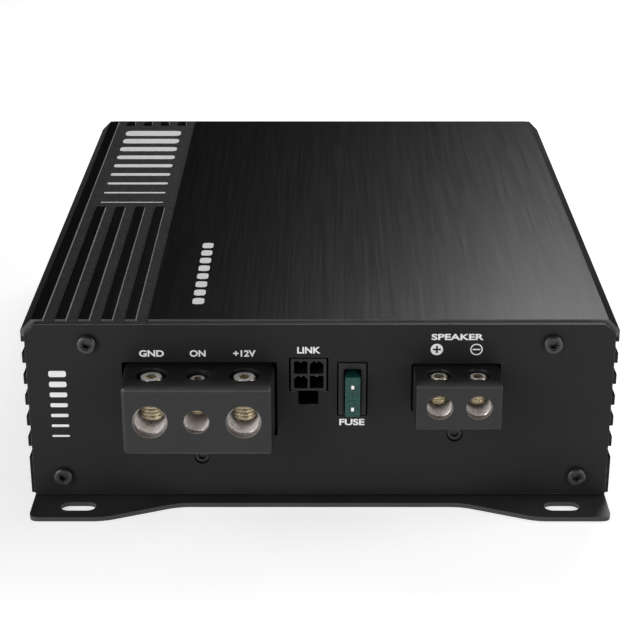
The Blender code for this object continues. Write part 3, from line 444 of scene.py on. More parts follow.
def rounded(points, radius, steps=3):
    """The closed outline with its corners turned into arcs; radius is one number or one for each corner."""
    count = len(points)
    radii = radius if isinstance(radius, (list, tuple)) else [radius] * count
    made = []
    for i, point in enumerate(points):
        here = Vector(point)
        back = Vector(points[i - 1]) - here
        ahead = Vector(points[(i + 1) % count]) - here
        turn = math.pi - back.angle(ahead)
        reach = radii[i] * math.tan(turn / 2)
        reach = min(reach, 0.49 * back.length, 0.49 * ahead.length)
        if turn < 0.05 or reach < 1e-4:
            made.append(tuple(here))
            continue
        start = here + back.normalized() * reach
        end = here + ahead.normalized() * reach
        for k in range(steps + 1):
            t = k / steps
            made.append(tuple(start * (1 - t) ** 2 + here * 2 * t * (1 - t) + end * t**2))
    return made


def ring(middle, radius, segments=48):
    """The points of a circle."""
    turns = [2 * math.pi * i / segments for i in range(segments)]
    return [(middle[0] + radius * math.cos(t), middle[1] + radius * math.sin(t)) for t in turns]


def rectangle(x, z, gap=0.0):
    """The corners of a rectangle, or of one that leaves a gap all round it."""
    x = (x[0] - gap, x[1] + gap)
    z = (z[0] - gap, z[1] + gap)
    return [(x[0], z[0]), (x[1], z[0]), (x[1], z[1]), (x[0], z[1])]


def mirrored(points):
    """The outline's other half, read the other way so that the two join up."""
    return [(-x, z) for x, z in reversed(points)]


def paint(mesh, choose):
    """Gives each face the material number that choose(centre, normal) returns, in millimetres."""
    for face in mesh.polygons:
        face.material_index = choose(face.center / MM, face.normal)
    return mesh


# ---- where things are

SEAT = span("base_plate")[1].z
COVER_LOW, COVER_HIGH = span("heatsink_cover")
FRONT = COVER_LOW.y
BACK = COVER_HIGH.y
HALF = COVER_HIGH.x
TOP = COVER_HIGH.z - PRINT - 0.01
PANEL_FACE = span("front_panel")[0].y
REAR_FACE = span("rear_panel")[1].y
REAR_LEVEL = SEAT + 31.5  # the height of everything in the rear panel
PORTS = ((58.2, 43.5), (66.1, 6.3))  # screw ports, out from the middle and up from the seat
PORT_RADIUS = 1.8
GROOVES = 6
GROOVE_FIRST = 10.8
GROOVE_PITCH = 5.87
GROOVE_HIGH = 3.0
GROOVE_DEEP = 1.2
SHOULDER = 2.9
RECESS = (-69.2, -42.9)
RECESS_DEEP = 0.6
RIBS = 4
RIB_WIDE = 2.75
RIB_END = FRONT + 85.8
POCKET_END = FRONT + 172.2
RECESS_FACE = TOP - RECESS_DEEP
ROOF_BAND = 4.6  # how far down the painted light band on the cover's cut ends reaches
EAR_SLOT = (62.05, 6.9)  # out from the middle, and past the cover's ends
EAR_SLOT_RADIUS = 2.2
EAR_SLOT_REACH = 2.35
PANEL_HALF = 73.8
PANEL_TOP = SEAT + 48.7
PANEL_LOW = SEAT + 1.0
POWER_LOW = SEAT + 18.9
SPEAKER_LOW = SEAT + 25.4
LINK_LOW = SEAT + 30.5
LATCH = (-5.5, -0.4)  # the latch window under the link socket, from left to right
LATCH_LOW = SEAT + 26.6
LATCH_MIDDLE = sum(LATCH) / 2
LATCH_DEEP = 6.0
PIN_THICK = 0.9
BLADE_OUT = 4.05  # from the fuse's middle to each blade


def port_places():
    return [(side * x, SEAT + height) for side in (-1, 1) for x, height in PORTS]


# ---- cover


def cover_outline():
    """The extrusion's section: ribbed top left, grooved sides, screw ports inside."""
    side = [(HALF, SEAT + 0.3)]
    inner = HALF - GROOVE_DEEP
    for i in range(GROOVES):
        low = SEAT + GROOVE_FIRST + i * GROOVE_PITCH
        high = low + GROOVE_HIGH
        side += [(HALF, low), (inner, low), (inner, high), (HALF, high)]
    side += [(HALF, TOP - SHOULDER), (HALF - SHOULDER, TOP)]
    width = (RECESS[1] - RECESS[0] - RIBS * RIB_WIDE) / (RIBS + 1)
    ribbed = []
    for i in range(RIBS + 1):
        right = RECESS[1] - i * (width + RIB_WIDE)
        left = right - width
        ribbed += [(right, TOP), (right, RECESS_FACE), (left, RECESS_FACE), (left, TOP)]
    roof = TOP - 4.0
    wall = HALF - 4.5
    ledge = SEAT + 9.2
    foot = SEAT + 3.1
    fin_low = SEAT + 20.8
    px, pz = PORTS[0][0], SEAT + PORTS[0][1]
    boss, fin = 2.9, 1.8
    channel = [(px - boss, roof), (px - boss, pz), (px - fin, pz - 2.2), (px - fin, fin_low)]
    channel += [(px + fin, fin_low), (px + fin, pz - 2.2), (px + boss, pz), (px + boss, roof)]
    channel += [(wall, roof), (wall, ledge), (63.2, ledge), (63.2, foot), (57.5, foot), (57.5, SEAT + 0.3)]
    small = 0.18
    radii = [0.35] + [small] * (4 * GROOVES) + [0.25] * 2
    radii += [0.1] * len(ribbed) + radii[::-1] + [small] * (2 * len(channel))
    outline = side + ribbed + mirrored(side) + mirrored(channel) + channel
    return rounded(outline, radii, 2)


def make_cover():
    finishes = (brushed, recess_grey, extruded, painted_wall_highlight, painted_light_end)
    holes = [ring(place, PORT_RADIUS, 20) for place in port_places()]
    mesh = sheet([cover_outline(), *holes], FRONT, BACK, "Y", "heatsink_cover_look", *finishes)
    pocket = block(RECESS, (RIB_END, POCKET_END), (RECESS_FACE, TOP + 5))
    mesh = cut_by(mesh, pocket)
    shape = from_mesh(bevelled(mesh, 0.14, 2, CREASE, weighted=False))
    band = TOP - ROOF_BAND
    everything = shape.verts[:] + shape.edges[:] + shape.faces[:]
    bmesh.ops.bisect_plane(shape, geom=everything, plane_co=(0, 0, band), plane_no=(0, 0, 1))
    mesh = to_mesh(shape, "heatsink_cover_look", *finishes)

    def choose(where, normal):
        # The upper band of the cut ends gets the lighter grey, painted light.
        if where.z > band and abs(normal.y) > 0.3 and abs(abs(where.y) - BACK) < 0.2:
            return finishes.index(painted_light_end)
        if where.z > TOP - 0.9 and RECESS[0] - 0.3 < where.x < RECESS[1] + 0.3:
            if normal.z > 0.9 and where.z < RECESS_FACE + 0.05:
                return finishes.index(recess_grey)
            # Right-facing recess walls get the painted highlight.
            if normal.x > 0.5:
                return finishes.index(painted_wall_highlight)
        if normal.z > 0.9 and where.z > TOP - 0.05:
            return finishes.index(brushed)
        return finishes.index(extruded)

    mesh = smooth(paint(mesh, choose))
    piece("cover_look", mesh, "anodised_aluminium", "heatsink_cover")


# ---- base plate and panels


def base_outline():
    """A plate whose four corners run out into ears."""
    half = 74.0
    strip = FRONT - 5.2
    ear = FRONT - 12.6
    quarter = [(36.5, strip), (55.0, ear), (half, ear)]
    radii = [16.0, 16.0, 2.5]
    front = mirrored(quarter) + quarter
    outline = front + [(x, -y) for x, y in reversed(front)]
    turn = radii[::-1] + radii
    return rounded(outline, turn + turn, 6)


def slot_outline(x, y):
    """A slot with round ends, long across the plate."""
    points = []
    for first, side in ((-90, 1), (90, -1)):
        for i in range(11):
            turn = math.radians(first + 18 * i)
            across = x + side * EAR_SLOT_REACH + EAR_SLOT_RADIUS * math.cos(turn)
            points.append((across, y + EAR_SLOT_RADIUS * math.sin(turn)))
    return points


def make_base():
    low, high = span("base_plate")
    outlines = [base_outline()]
    out, past = EAR_SLOT
    for side in (-1, 1):
        outlines += [slot_outline(side * out, FRONT - past), slot_outline(side * out, BACK + past)]
    cones = []
    for i in range(1, 5):
        where = centre(f"base_screw_{i}")
        outlines.append(ring((where.x, where.y), 1.85, 32))
        cones.append(rod(3.6, (where.x, where.y, -0.4), (where.x, where.y, 0.95), 32, 2.0))
    mesh = sheet(outlines, low.z, high.z, "Z", "base_plate_look", plate_paint, painted_edge_highlight)
    mesh = cut_by(mesh, *cones)
    mesh = bevelled(mesh, 0.3, 3, CREASE)

    # The slanted faces of the plate's rounded top edges get the painted highlight.
    def choose(where, normal):
        return 1 if 0.45 < normal.z < 0.85 and where.z > high.z - 0.3 else 0

    piece("base_plate_look", paint(mesh, choose), "powder_coated_steel", "base_plate")


def panel_outline():
    chamfer = 2.7
    side = [(PANEL_HALF, PANEL_LOW), (PANEL_HALF, PANEL_TOP - chamfer), (PANEL_HALF - chamfer, PANEL_TOP)]
    return rounded(side + mirrored(side), 0.2, 2)


def panel_edge(where, normal):
    """Picks the painted highlight, a light grey that glows faintly, for a panel's rounded outer edge and
    the latch window's sill.
    """
    rim = abs(where.x) > PANEL_HALF - 3.3 or where.z > PANEL_TOP - 0.5 or where.z < PANEL_LOW + 0.5
    latch = abs(where.x - LATCH_MIDDLE) < 5.2 and LATCH_LOW - 0.6 < where.z < LINK_LOW
    sill = latch and normal.z > 0.3
    return 1 if (rim or sill) and 0.25 < abs(normal.y) < 0.97 else 0


def make_panel(name, windows, holes):
    """A flat panel with its screw holes, and with the windows and the round holes given."""
    outlines = [panel_outline(), *windows]
    outlines += [ring(place, PORT_RADIUS, 24) for place in port_places()]
    outlines += [ring(place, radius, 40) for place, radius in holes]
    mesh = sheet(outlines, *pairs(name)[1], "Y", name + "_look", powder, painted_edge_highlight)
    mesh = paint(bevelled(mesh, 0.2, 2, CREASE), panel_edge)
    piece(name + "_look", mesh, "powder_coated_steel", name)


def make_front_panel():
    px, _, pz = pairs("power_terminal_block")
    sx, _, sz = pairs("speaker_terminal_block")
    hx, _, hz = pairs("fuse_holder")
    lx, _, lz = pairs("link_header")
    left, right = LATCH
    shoulder = LINK_LOW - 0.25
    lx, top = (lx[0] - 0.5, lx[1] + 0.5), lz[1] + 0.3
    latch = [(left, LATCH_LOW), (right, LATCH_LOW), (right, shoulder), (lx[1], shoulder)]
    latch += [(lx[1], top), (lx[0], top), (lx[0], shoulder), (left, shoulder)]
    windows = [
        rounded(rectangle(px, (POWER_LOW, pz[1]), 1.0), 0.6),
        rounded(rectangle(sx, (SPEAKER_LOW, sz[1]), 0.6), 0.6),
        rounded(rectangle(hx, (hz[0] + 0.2, hz[1]), 0.3), 0.4),
        rounded(latch, 0.25),
    ]
    power, speaker = centre("power_block_screw"), centre("speaker_block_screw")
    make_panel("front_panel", windows, [((power.x, power.z), 1.97), ((speaker.x, speaker.z), 2.05)])


def make_rear_panel():
    rx, _, rz = pairs("rca_block")
    radii = {"level_control_shaft": 3.5, "low_pass_control_shaft": 3.5, "status_led": 1.8}
    holes = [((centre(name).x, REAR_LEVEL), radius) for name, radius in radii.items()]
    make_panel("rear_panel", [rounded(rectangle(rx, rz, 0.3), 0.4)], holes)


# ---- screws


def socketed(mesh, across, place, top, floor, turn):
    """The mesh with a hexagon socket sunk along its local axis, from above its top down to its floor."""
    start = place @ Vector((0, 0, floor))
    end = place @ Vector((0, 0, top + 1))
    return cut_by(mesh, rod(across / math.sqrt(3), start, end, 6, turn=turn))


def button_screw(name, place, node, turn):
    """A button head: a rounded rim, a nearly flat land and a countersink around its hexagon socket."""
    profile = [(0, 1.1), (1.2, 1.1), (1.42, 1.36), (1.55, 1.4), (2.0, 1.36), (2.22, 1.26), (2.38, 1.08)]
    profile += [(2.46, 0.84), (2.5, 0.5), (2.5, 0.1), (2.4, 0.0), (1.5, 0.0)]
    profile += [(1.5, -9.2), (1.1, -9.6), (0, -9.6)]
    mesh = turned(profile, place, name, screw_black)
    mesh = socketed(mesh, 2.0, place, 1.4, -0.2, turn)
    mesh = smooth(mesh, False, math.radians(24))
    piece(name, mesh, "black_screw_steel", node)


def make_screws():
    for i, (x, z) in enumerate(port_places(), 1):
        front = facing((x, PANEL_FACE - 0.02, z), "front")
        rear = facing((x, REAR_FACE + 0.02, z), "back")
        button_screw(f"front_screw_look_{i}", front, f"front_panel_screw_{i}", 0.5 + 0.7 * i)
        button_screw(f"rear_screw_look_{i}", rear, f"rear_panel_screw_{i}", 0.2 + 0.9 * i)
    for i in range(1, 5):
        where = centre(f"base_screw_{i}")
        place = facing((where.x, where.y, 0.1), "down")
        profile = [(0, 0), (2.6, 0), (2.78, -0.12), (1.5, -1.15), (1.5, -3.8), (1.1, -4.1), (0, -4.1)]
        mesh = turned(profile, place, "countersunk", screw_black)
        mesh = smooth(socketed(mesh, 2.0, place, 0.0, -0.9, 0.3 * i), False, math.radians(30))
        piece(f"base_screw_look_{i}", mesh, "black_screw_steel", f"base_screw_{i}")
    for name in ("power_block_screw", "speaker_block_screw"):
        where = centre(name)
        place = facing((where.x, span(name)[0].y, where.z), "front")
        profile = [(0, 0), (1.78, 0), (1.87, -0.09), (1.9, -0.3), (1.9, -1.2), (1.1, -1.2)]
        profile += [(1.1, -7.0), (0, -7.0)]
        # The block screws take the darker copy: painted shade.
        mesh = turned(profile, place, name, painted_shade_screw)
        mesh = smooth(socketed(mesh, 2.0, place, 0.0, -0.8, 0.4), False, math.radians(30))
        piece(name + "_look", mesh, "black_screw_steel", name)


def threaded(radius, top, tip, pitch, x, y, name):
    """A clamp screw: a real helical thread between a chamfered top and a narrow tip."""
    depth = 0.42
    flat = 1.35  # over 1, so that the crests end in a narrow flat
    chamfer, taper = 0.35, 0.5
    around = 40
    rows_each = 8
    step = pitch / rows_each
    last = math.ceil((top - tip) / step) + rows_each
    shape = bmesh.new()
    grid = []
    for row in range(last + 1):
        tooth = 1 - abs(2 * (row / rows_each % 1.0) - 1)
        crest = radius - depth * (1 - min(1.0, tooth * flat))
        line = []
        for i in range(around):
            share = i / around
            z = min(top, max(tip, top - step * row + pitch * share))
            full = min(1.0, (top - z) / chamfer, (z - tip) / taper)
            inner = radius - depth * (1.25 if z - tip < taper else 1.0)
            reach = inner + (crest - inner) * full
            turn = 2 * math.pi * share
            line.append(shape.verts.new((x + reach * math.cos(turn), y + reach * math.sin(turn), z)))
        grid.append(line)

    def at(row, i):
        return grid[row][i] if i < around else grid[max(0, row - rows_each)][0]

    for row in range(last):
        for i in range(around):
            corners = [at(row, i + 1), at(row, i), at(row + 1, i), at(row + 1, i + 1)]
            corners = list(dict.fromkeys(corners))
            if len(corners) > 2:
                shape.faces.new(corners)
    bmesh.ops.remove_doubles(shape, verts=shape.verts[:], dist=1e-4)
    rims = [edge for edge in shape.edges if edge.is_boundary]
    bmesh.ops.holes_fill(shape, edges=rims, sides=0)
    return to_mesh(shape, name, nickel_top, nickel_thread)


def make_clamp_screws():
    for way, sizes in WAYS.items():
        name = way + "_clamp_screw"
        low, high = span(name)
        where = (low + high) / 2
        mesh = threaded((high.x - low.x) / 2, high.z, low.z, sizes["pitch"], where.x, where.y, name)
        place = facing((where.x, where.y, high.z), "up")
        mesh = socketed(mesh, sizes["hexagon"], place, 0.0, -1.8, 0.35)

        def choose(at, normal):
            return 0 if at.z > high.z - 0.04 else 1

        mesh = smooth(paint(mesh, choose), False, CREASE)
        piece(name + "_look", mesh, "nickel_plate", name, body=name)


# ---- terminals

LARGE = {"mouth": 4.4, "bore": 3.75, "well": 4.0, "level": SEAT + 28.0, "hexagon": 2.6, "pitch": 0.95}
SMALL = {"mouth": 3.2, "bore": 3.1, "well": 3.1, "level": SEAT + 28.0, "hexagon": 2.0, "pitch": 0.75}
SPEAKER = {"mouth": 3.25, "bore": 2.9, "well": 3.3, "level": SEAT + 31.4, "hexagon": 2.5, "pitch": 0.75}
POWER_WAYS = {"ground": LARGE, "remote": SMALL, "supply": LARGE}
SPEAKER_WAYS = {"speaker_positive": SPEAKER, "speaker_negative": SPEAKER}
WAYS = POWER_WAYS | SPEAKER_WAYS


def make_block(name, ways, low, draft, round_off):
    """The moulded housing with its wire mouths, screw wells, barrel pockets and lug."""
    x, y, z = pairs(name)
    finishes = (plastic, painted_plastic_highlight, nickel_lip)
    mesh = block(x, y, (low, z[1]), *finishes, name=name)
    shape = from_mesh(bevelled(mesh, round_off, 5, weighted=False))
    middle = sum(x) / 2
    straight = y[0] + 1.0
    for vert in shape.verts:
        share = min(1.0, max(0.0, (vert.co.y - straight) / (PANEL_FACE - straight)))
        vert.co.x += math.copysign(draft * share, vert.co.x - middle)
    mesh = to_mesh(shape, name, *finishes)
    screw = centre(name.replace("terminal_block", "block_screw"))
    lug = block((screw.x - 4, screw.x + 4), (FRONT + 1.5, FRONT + 6.5), (z[0], low + 1))
    mesh = cut_by(mesh, lug, operation="UNION")
    tools = [rod(1.5, (screw.x, FRONT, screw.z), (screw.x, FRONT + 9, screw.z), 24)]
    mouths = []
    for way, sizes in ways.items():
        barrel_low, barrel_high = span(way + "_barrel")
        middle = (barrel_low.x + barrel_high.x) / 2
        axis = centre(way + "_clamp_screw").y
        level = sizes["level"]
        half = (barrel_high.x - barrel_low.x) / 2 + 0.3
        tall = level - barrel_low.z + 0.3
        tools.append(rod(sizes["mouth"], (middle, y[0] - 2, level), (middle, y[0] + 1.7, level), 64))
        tools.append(rod(sizes["well"], (middle, axis, level + tall - 1), (middle, axis, z[1] + 2), 64))
        pocket = (middle - half, middle + half), (y[0] + 1.2, y[1] + 2), (level - tall, level + tall)
        tools.append(block(*pocket))
        mouths.append((middle, level, sizes["mouth"] + 0.1))
    mesh = bevelled(cut_by(mesh, *tools), 0.22, 2, CREASE)

    def choose(at, normal):
        # The rounded top front edge gets the painted highlight.
        top_edge = at.z > z[1] - round_off and at.y < y[0] + round_off
        if top_edge and 0.1 < normal.z < 0.97 and normal.y < -0.2:
            return finishes.index(painted_plastic_highlight)
        inside = any(math.hypot(at.x - across, at.z - level) < radius for across, level, radius in mouths)
        return finishes.index(nickel_lip) if inside and y[0] + 0.15 < at.y < y[0] + 1.8 else 0

    piece(name + "_look", paint(mesh, choose), "black_plastic", name)


def make_barrel(way, bore, level):
    """A metal barrel with its wire bore, chamfered at the mouth, and its screw's hole."""
    name = way + "_barrel"
    x, y, z = pairs(name)
    half = level - z[0]
    tail = y[1] - 2.0
    top = level + half
    outline = [(y[0], z[0]), (y[1], z[0]), (y[1], z[1]), (tail, z[1]), (tail, top), (y[0], top)]
    finishes = (nickel, nickel_bore, nickel_thread, nickel_lip)
    mesh = sheet([rounded(outline, 0.3, 2)], *x, "X", name, *finishes)
    middle = sum(x) / 2
    screw = span(way + "_clamp_screw")
    axis = (screw[0].y + screw[1].y) / 2
    radius = (screw[1].x - screw[0].x) / 2 + 0.15
    end = FRONT + 1.0
    mesh = cut_by(
        mesh,
        rod(bore, (middle, y[0] - 2, level), (middle, end, level), 64),
        rod(bore + 0.24, (middle, y[0] - 0.1, level), (middle, y[0] + 0.2, level), 64, bore - 0.06),
        rod(radius, (middle, axis, level), (middle, axis, top + 1), 48),
    )

    def choose(at, normal):
        if y[0] + 0.3 < at.y < end + 0.1 and math.hypot(at.x - middle, at.z - level) < bore + 0.1:
            return finishes.index(nickel_bore)
        if math.hypot(at.x - middle, at.y - axis) < radius + 0.1 and at.z > level:
            return finishes.index(nickel_thread)
        return finishes.index(nickel_lip) if normal.y < -0.95 and at.y < y[0] + 0.05 else 0

    mesh = bevelled(paint(mesh, choose), 0.12, 2, CREASE)
    piece(name + "_look", mesh, "nickel_plate", name)


def make_terminals():
    make_block("power_terminal_block", POWER_WAYS, POWER_LOW, 0.65, 1.1)
    make_block("speaker_terminal_block", SPEAKER_WAYS, SPEAKER_LOW, 0.25, 0.5)
    for way, sizes in WAYS.items():
        make_barrel(way, sizes["bore"], sizes["level"])


# ---- link socket and fuse


def make_link_header():
    """A shrouded 2 by 2 header: two square cells and two with their top corners cut off."""
    x, y, z = pairs("link_header")
    mesh = block(x, y, (LINK_LOW, z[1]), dark_plastic, name="link_header")
    left, right = LATCH
    walls = block((left - 1, right + 1), (FRONT, FRONT + LATCH_DEEP + 1), (z[0], LINK_LOW + 0.4))
    mesh = cut_by(mesh, walls, operation="UNION")
    tools = [block(LATCH, (FRONT - 1, FRONT + LATCH_DEEP), (LATCH_LOW, LINK_LOW - 0.02))]
    floor = y[0] + 10.0
    half = 3.45 / 2
    corner = 0.9
    passage = 0.75
    for i in range(1, 5):
        middle = centre(f"link_pin_{i}").x
        level = span(f"link_pin_{i}")[0].z + PIN_THICK / 2
        cell = [(middle - half, level - half), (middle + half, level - half)]
        if i in (2, 3):
            cell += [(middle + half, level + half - corner), (middle + half - corner, level + half)]
            cell += [(middle - half + corner, level + half), (middle - half, level + half - corner)]
        else:
            cell += [(middle + half, level + half), (middle - half, level + half)]
        tools.append(sheet([rounded(cell, 0.2, 2)], y[0] - 2, floor, "Y", "cell"))
        across = (middle - passage, middle + passage)
        tools.append(block(across, (floor - 0.5, y[1] + 2), (level - passage, level + passage)))
    mesh = bevelled(cut_by(mesh, *tools), 0.16, 2, CREASE)
    piece("link_header_look", mesh, "black_plastic", "link_header")


def make_link_pins():
    """Square pins with tapered tips, bent up to the board."""
    tip = 0.7
    slope = 0.28
    for i in range(1, 5):
        name = f"link_pin_{i}"
        x, y, z = pairs(name)
        low = z[0]
        high = low + PIN_THICK
        inner = y[1] - PIN_THICK
        outline = [(y[0] + tip, low), (y[1], low), (y[1], z[1]), (inner, z[1]), (inner, high)]
        outline += [(y[0] + tip, high), (y[0], high - slope), (y[0], low + slope)]
        shape = from_mesh(sheet([outline], *x, "X", name, nickel_top))
        middle = sum(x) / 2
        for vert in shape.verts:
            if vert.co.y < y[0] + 0.1:
                vert.co.x = middle + (vert.co.x - middle) * 0.38
        mesh = bevelled(to_mesh(shape, name, nickel_top), 0.05, 1, CREASE, weighted=False)
        piece(name + "_look", mesh, "tinned_brass", name)


def rounded_cad(node, width):
    """A CAD node's own shape in tinned brass, its edges rounded."""
    shape = from_mesh(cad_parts[node].data)
    return bevelled(to_mesh(shape, node, tin), width, 2, math.radians(40))


def make_fuse_holder():
    x, y, z = pairs("fuse_holder")
    fx, fy, fz = pairs("fuse_body")
    mesh = bevelled(block(x, y, z, dark_plastic, name="fuse_holder"), 0.3, 3, weighted=False)
    mouth_top = SEAT + 36.3
    mouth = block((fx[0] - 0.3, fx[1] + 0.3), (y[0] - 2, fy[1] + 0.3), (fz[0] - 0.3, mouth_top))
    flare = block((fx[0] - 0.6, fx[1] + 0.6), (y[0] - 2, y[0] + 0.35), (fz[0] - 0.6, mouth_top + 0.3))
    middle = sum(fx) / 2
    level = sum(fz) / 2
    half = 1.7
    tools = [mouth, flare]
    for at in (level + BLADE_OUT, level - BLADE_OUT):
        tools.append(block((middle - half, middle + half), (fy[1], y[1] + 2), (at - half, at + half)))
    mesh = bevelled(cut_by(mesh, *tools), 0.15, 2, CREASE)
    piece("fuse_holder_look", mesh, "black_plastic", "fuse_holder")
    for i in (1, 2):
        node = f"fuse_clip_{i}"
        piece(node + "_look", rounded_cad(node, 0.08), "tinned_brass", node)


def make_fuse():
    """The fuse: a flanged clear head with two test windows over one stamped strip."""
    x, y, z = pairs("fuse_body")
    middle = sum(x) / 2
    level = sum(z) / 2
    face = y[0]
    rise = 1.6
    flange = rounded(rectangle(x, z), 0.55, 4)
    body = rounded(rectangle((middle - 1.5, middle + 1.5), (z[0] + 0.25, z[1] - 0.25)), 0.5, 4)
    head = sheet([flange], face, face + rise, "Y", "fuse_flange", teal)
    lower = sheet([body], face + 0.8, y[1], "Y", "fuse_lower", teal)

    def room(half, near, far, low, high, *materials):
        return block((middle - half, middle + half), (face + near, face + far), (low, high), *materials)

    tools = [block((middle - 0.7, middle + 0.7), (face + 2.4, y[1] + 2), (level - 5.1, level + 5.1))]
    for label, side in (("upper", 1), ("lower", -1)):
        tools.append(room(0.7, 0.5, 3.0, *sorted((level + side * 2.3, level + side * 5.1))))
        spot = level + side * 3.05 - 0.45
        tools.append(room(0.44, -1, 0.8, spot - 0.6, spot + 0.6))
        pad = bevelled(room(0.4, 0.12, 0.75, spot - 0.55, spot + 0.55, nickel_top), 0.06, 2)
        piece(f"fuse_test_pad_{label}", pad, "tinned_brass", "fuse_element", body="fuse")
    tools.append(room(1.3, -1, 0.14, level - 1.12, level - 0.88))
    tools.append(room(0.12, -1, 0.14, level + 0.4, level + 1.5))
    mesh = cut_by(cut_by(head, lower, operation="UNION"), *tools)
    piece("fuse_head_look", bevelled(mesh, 0.1, 2, CREASE), "fuse_teal", "fuse_body", body="fuse")
    piece("fuse_strip_look", rounded_cad("fuse_element", 0.1), "tinned_brass", "fuse_element", body="fuse")


# ---- rear end


def make_rca():
    """Two phono sockets in their block, each a sleeve around a coloured core and its contact."""
    x, y, z = pairs("rca_block")
    flange = BACK + 5.0
    level = REAR_LEVEL
    mesh = bevelled(block(x, (y[0], flange), z, plastic, name="rca_block"), 0.5, 3, weighted=False)
    tools = []
    for side in ("left", "right"):
        low, high = span(f"rca_sleeve_{side}")
        middle = (low.x + high.x) / 2
        tools.append(rod(4.45, (middle, low.y - 0.3, level), (middle, flange + 2, level), 64))
    mesh = bevelled(cut_by(mesh, *tools), 0.2, 2, CREASE)
    piece("rca_block_look", mesh, "black_plastic", "rca_block")
    for side, colour in (("left", white_plastic), ("right", red_plastic)):
        node = f"rca_sleeve_{side}"
        low, high = span(node)
        middle = (low.x + high.x) / 2
        place = facing((middle, high.y, level), "back")
        long = high.y - low.y
        sleeve = [(3.45, -0.25), (3.6, -0.05), (3.85, 0), (4.05, -0.1), (4.15, -0.35), (4.15, -6.4)]
        sleeve += [(4.0, -6.6), (4.0, -7.4), (4.15, -7.6), (4.15, -long), (3.4, -long)]
        mesh = smooth(turned(sleeve, place, node, nickel, closed=True, steps=64))
        piece(node + "_look", mesh, "nickel_plate", node)
        end = -long - 0.6
        core = [(1.05, -1.25), (2.9, -1.25), (3.05, -1.4), (3.1, -1.7), (3.1, end), (1.05, end)]
        mesh = smooth(turned(core, place, f"rca_core_{side}", colour, closed=True, steps=64))
        piece(f"rca_core_{side}", mesh, "black_plastic", "rca_block")
        contact = [(0.75, -1.6), (0.95, -1.5), (1.0, -1.7), (1.0, -12.0), (0.75, -12.0)]
        mesh = smooth(turned(contact, place, f"rca_contact_{side}", tin, closed=True, steps=32))
        piece(f"rca_contact_{side}", mesh, "black_plastic", "rca_block")


def make_controls():
    """Two slotted, fluted shafts in their cases, and the status light."""
    level = REAR_LEVEL
    points = 72
    flutes = 18
    for label in ("level_control", "low_pass_control"):
        node = label + "_shaft"
        low, high = span(node)
        middle = (low.x + high.x) / 2
        outer = REAR_FACE + 1.4
        outline = []
        for i in range(points):
            turn = 2 * math.pi * i / points
            radius = 2.98 - 0.14 * (0.5 - 0.5 * math.cos(flutes * turn))
            outline.append((middle + radius * math.cos(turn), level + radius * math.sin(turn)))
        mesh = sheet([outline], outer - 3.2, outer, "Y", node, dark_plastic)
        shaft = rod(1.5, (middle, low.y, level), (middle, outer - 2.5, level), 32)
        mesh = cut_by(mesh, shaft, operation="UNION")
        slot = block((middle - 5, middle + 5), (outer - 1.0, outer + 1), (level - 0.4, level + 0.4))
        mesh = bevelled(cut_by(mesh, slot), 0.12, 2, CREASE)
        piece(node + "_look", mesh, "black_plastic", node, body=label)
        case = label + "_body"
        x, y, z = pairs(case)
        mesh = block(x, y, z, control_blue, name=case)
        mesh = cut_by(mesh, rod(1.8, (middle, low.y - 0.3, level), (middle, y[1] + 2, level), 32))
        piece(case + "_look", bevelled(mesh, 0.25, 2, CREASE), "control_plastic", case)
    x, y, z = pairs("status_led")
    middle = sum(x) / 2
    mesh = bevelled(block(x, (y[0], BACK - 2.0), z, lens_blue, name="status_led"), 0.2, 2, weighted=False)
    dome = [(0, 5.5), (0.45, 5.43), (0.85, 5.24), (1.2, 4.9), (1.42, 4.45), (1.5, 4.0)]
    dome += [(1.5, -1.0), (0, -1.0)]
    lens = turned(dome, facing((middle, BACK - 2.6, level), "back"), "led_dome", steps=40)
    mesh = smooth(cut_by(mesh, lens, operation="UNION"))
    piece("status_led_look", mesh, "led_lens", "status_led")


# ---- printing


def printed(name, outlines, along, low, high, slot, material):
    """A flat print; it stands for no CAD node."""
    piece(name, sheet(outlines, low, high, along, name, material), slot)


def lettering(name, text, width, height, x, z):
    """Generic panel lettering, its capitals height tall and the line width wide, centred on (x, z)."""
    curve = bpy.data.curves.new(name, "FONT")
    curve.body = text
    curve.size = 1.0
    curve.fill_mode = "BOTH"
    curve.offset = 0.03
    curve.extrude = 0.5
    curve.resolution_u = 6
    shape = bmesh.new()
    shape.from_mesh(applied(curve))
    low = [min(v.co[k] for v in shape.verts) for k in (0, 1)]
    high = [max(v.co[k] for v in shape.verts) for k in (0, 1)]
    wide = width / (high[0] - low[0])
    tall = height / (high[1] - low[1])
    for v in shape.verts:
        across = x + (v.co.x - (low[0] + high[0]) / 2) * wide
        upward = z + (v.co.y - (low[1] + high[1]) / 2) * tall
        v.co = (across, PANEL_FACE - PRINT if v.co.z > 0 else PANEL_FACE + BURIED, upward)
    piece(name, to_mesh(shape, name, glowing_panel_print), "powder_coated_steel")


def bar(x, y):
    """A stripe with rounded ends."""
    return rounded(rectangle(x, y), 0.35 * min(x[1] - x[0], y[1] - y[0]), 3)


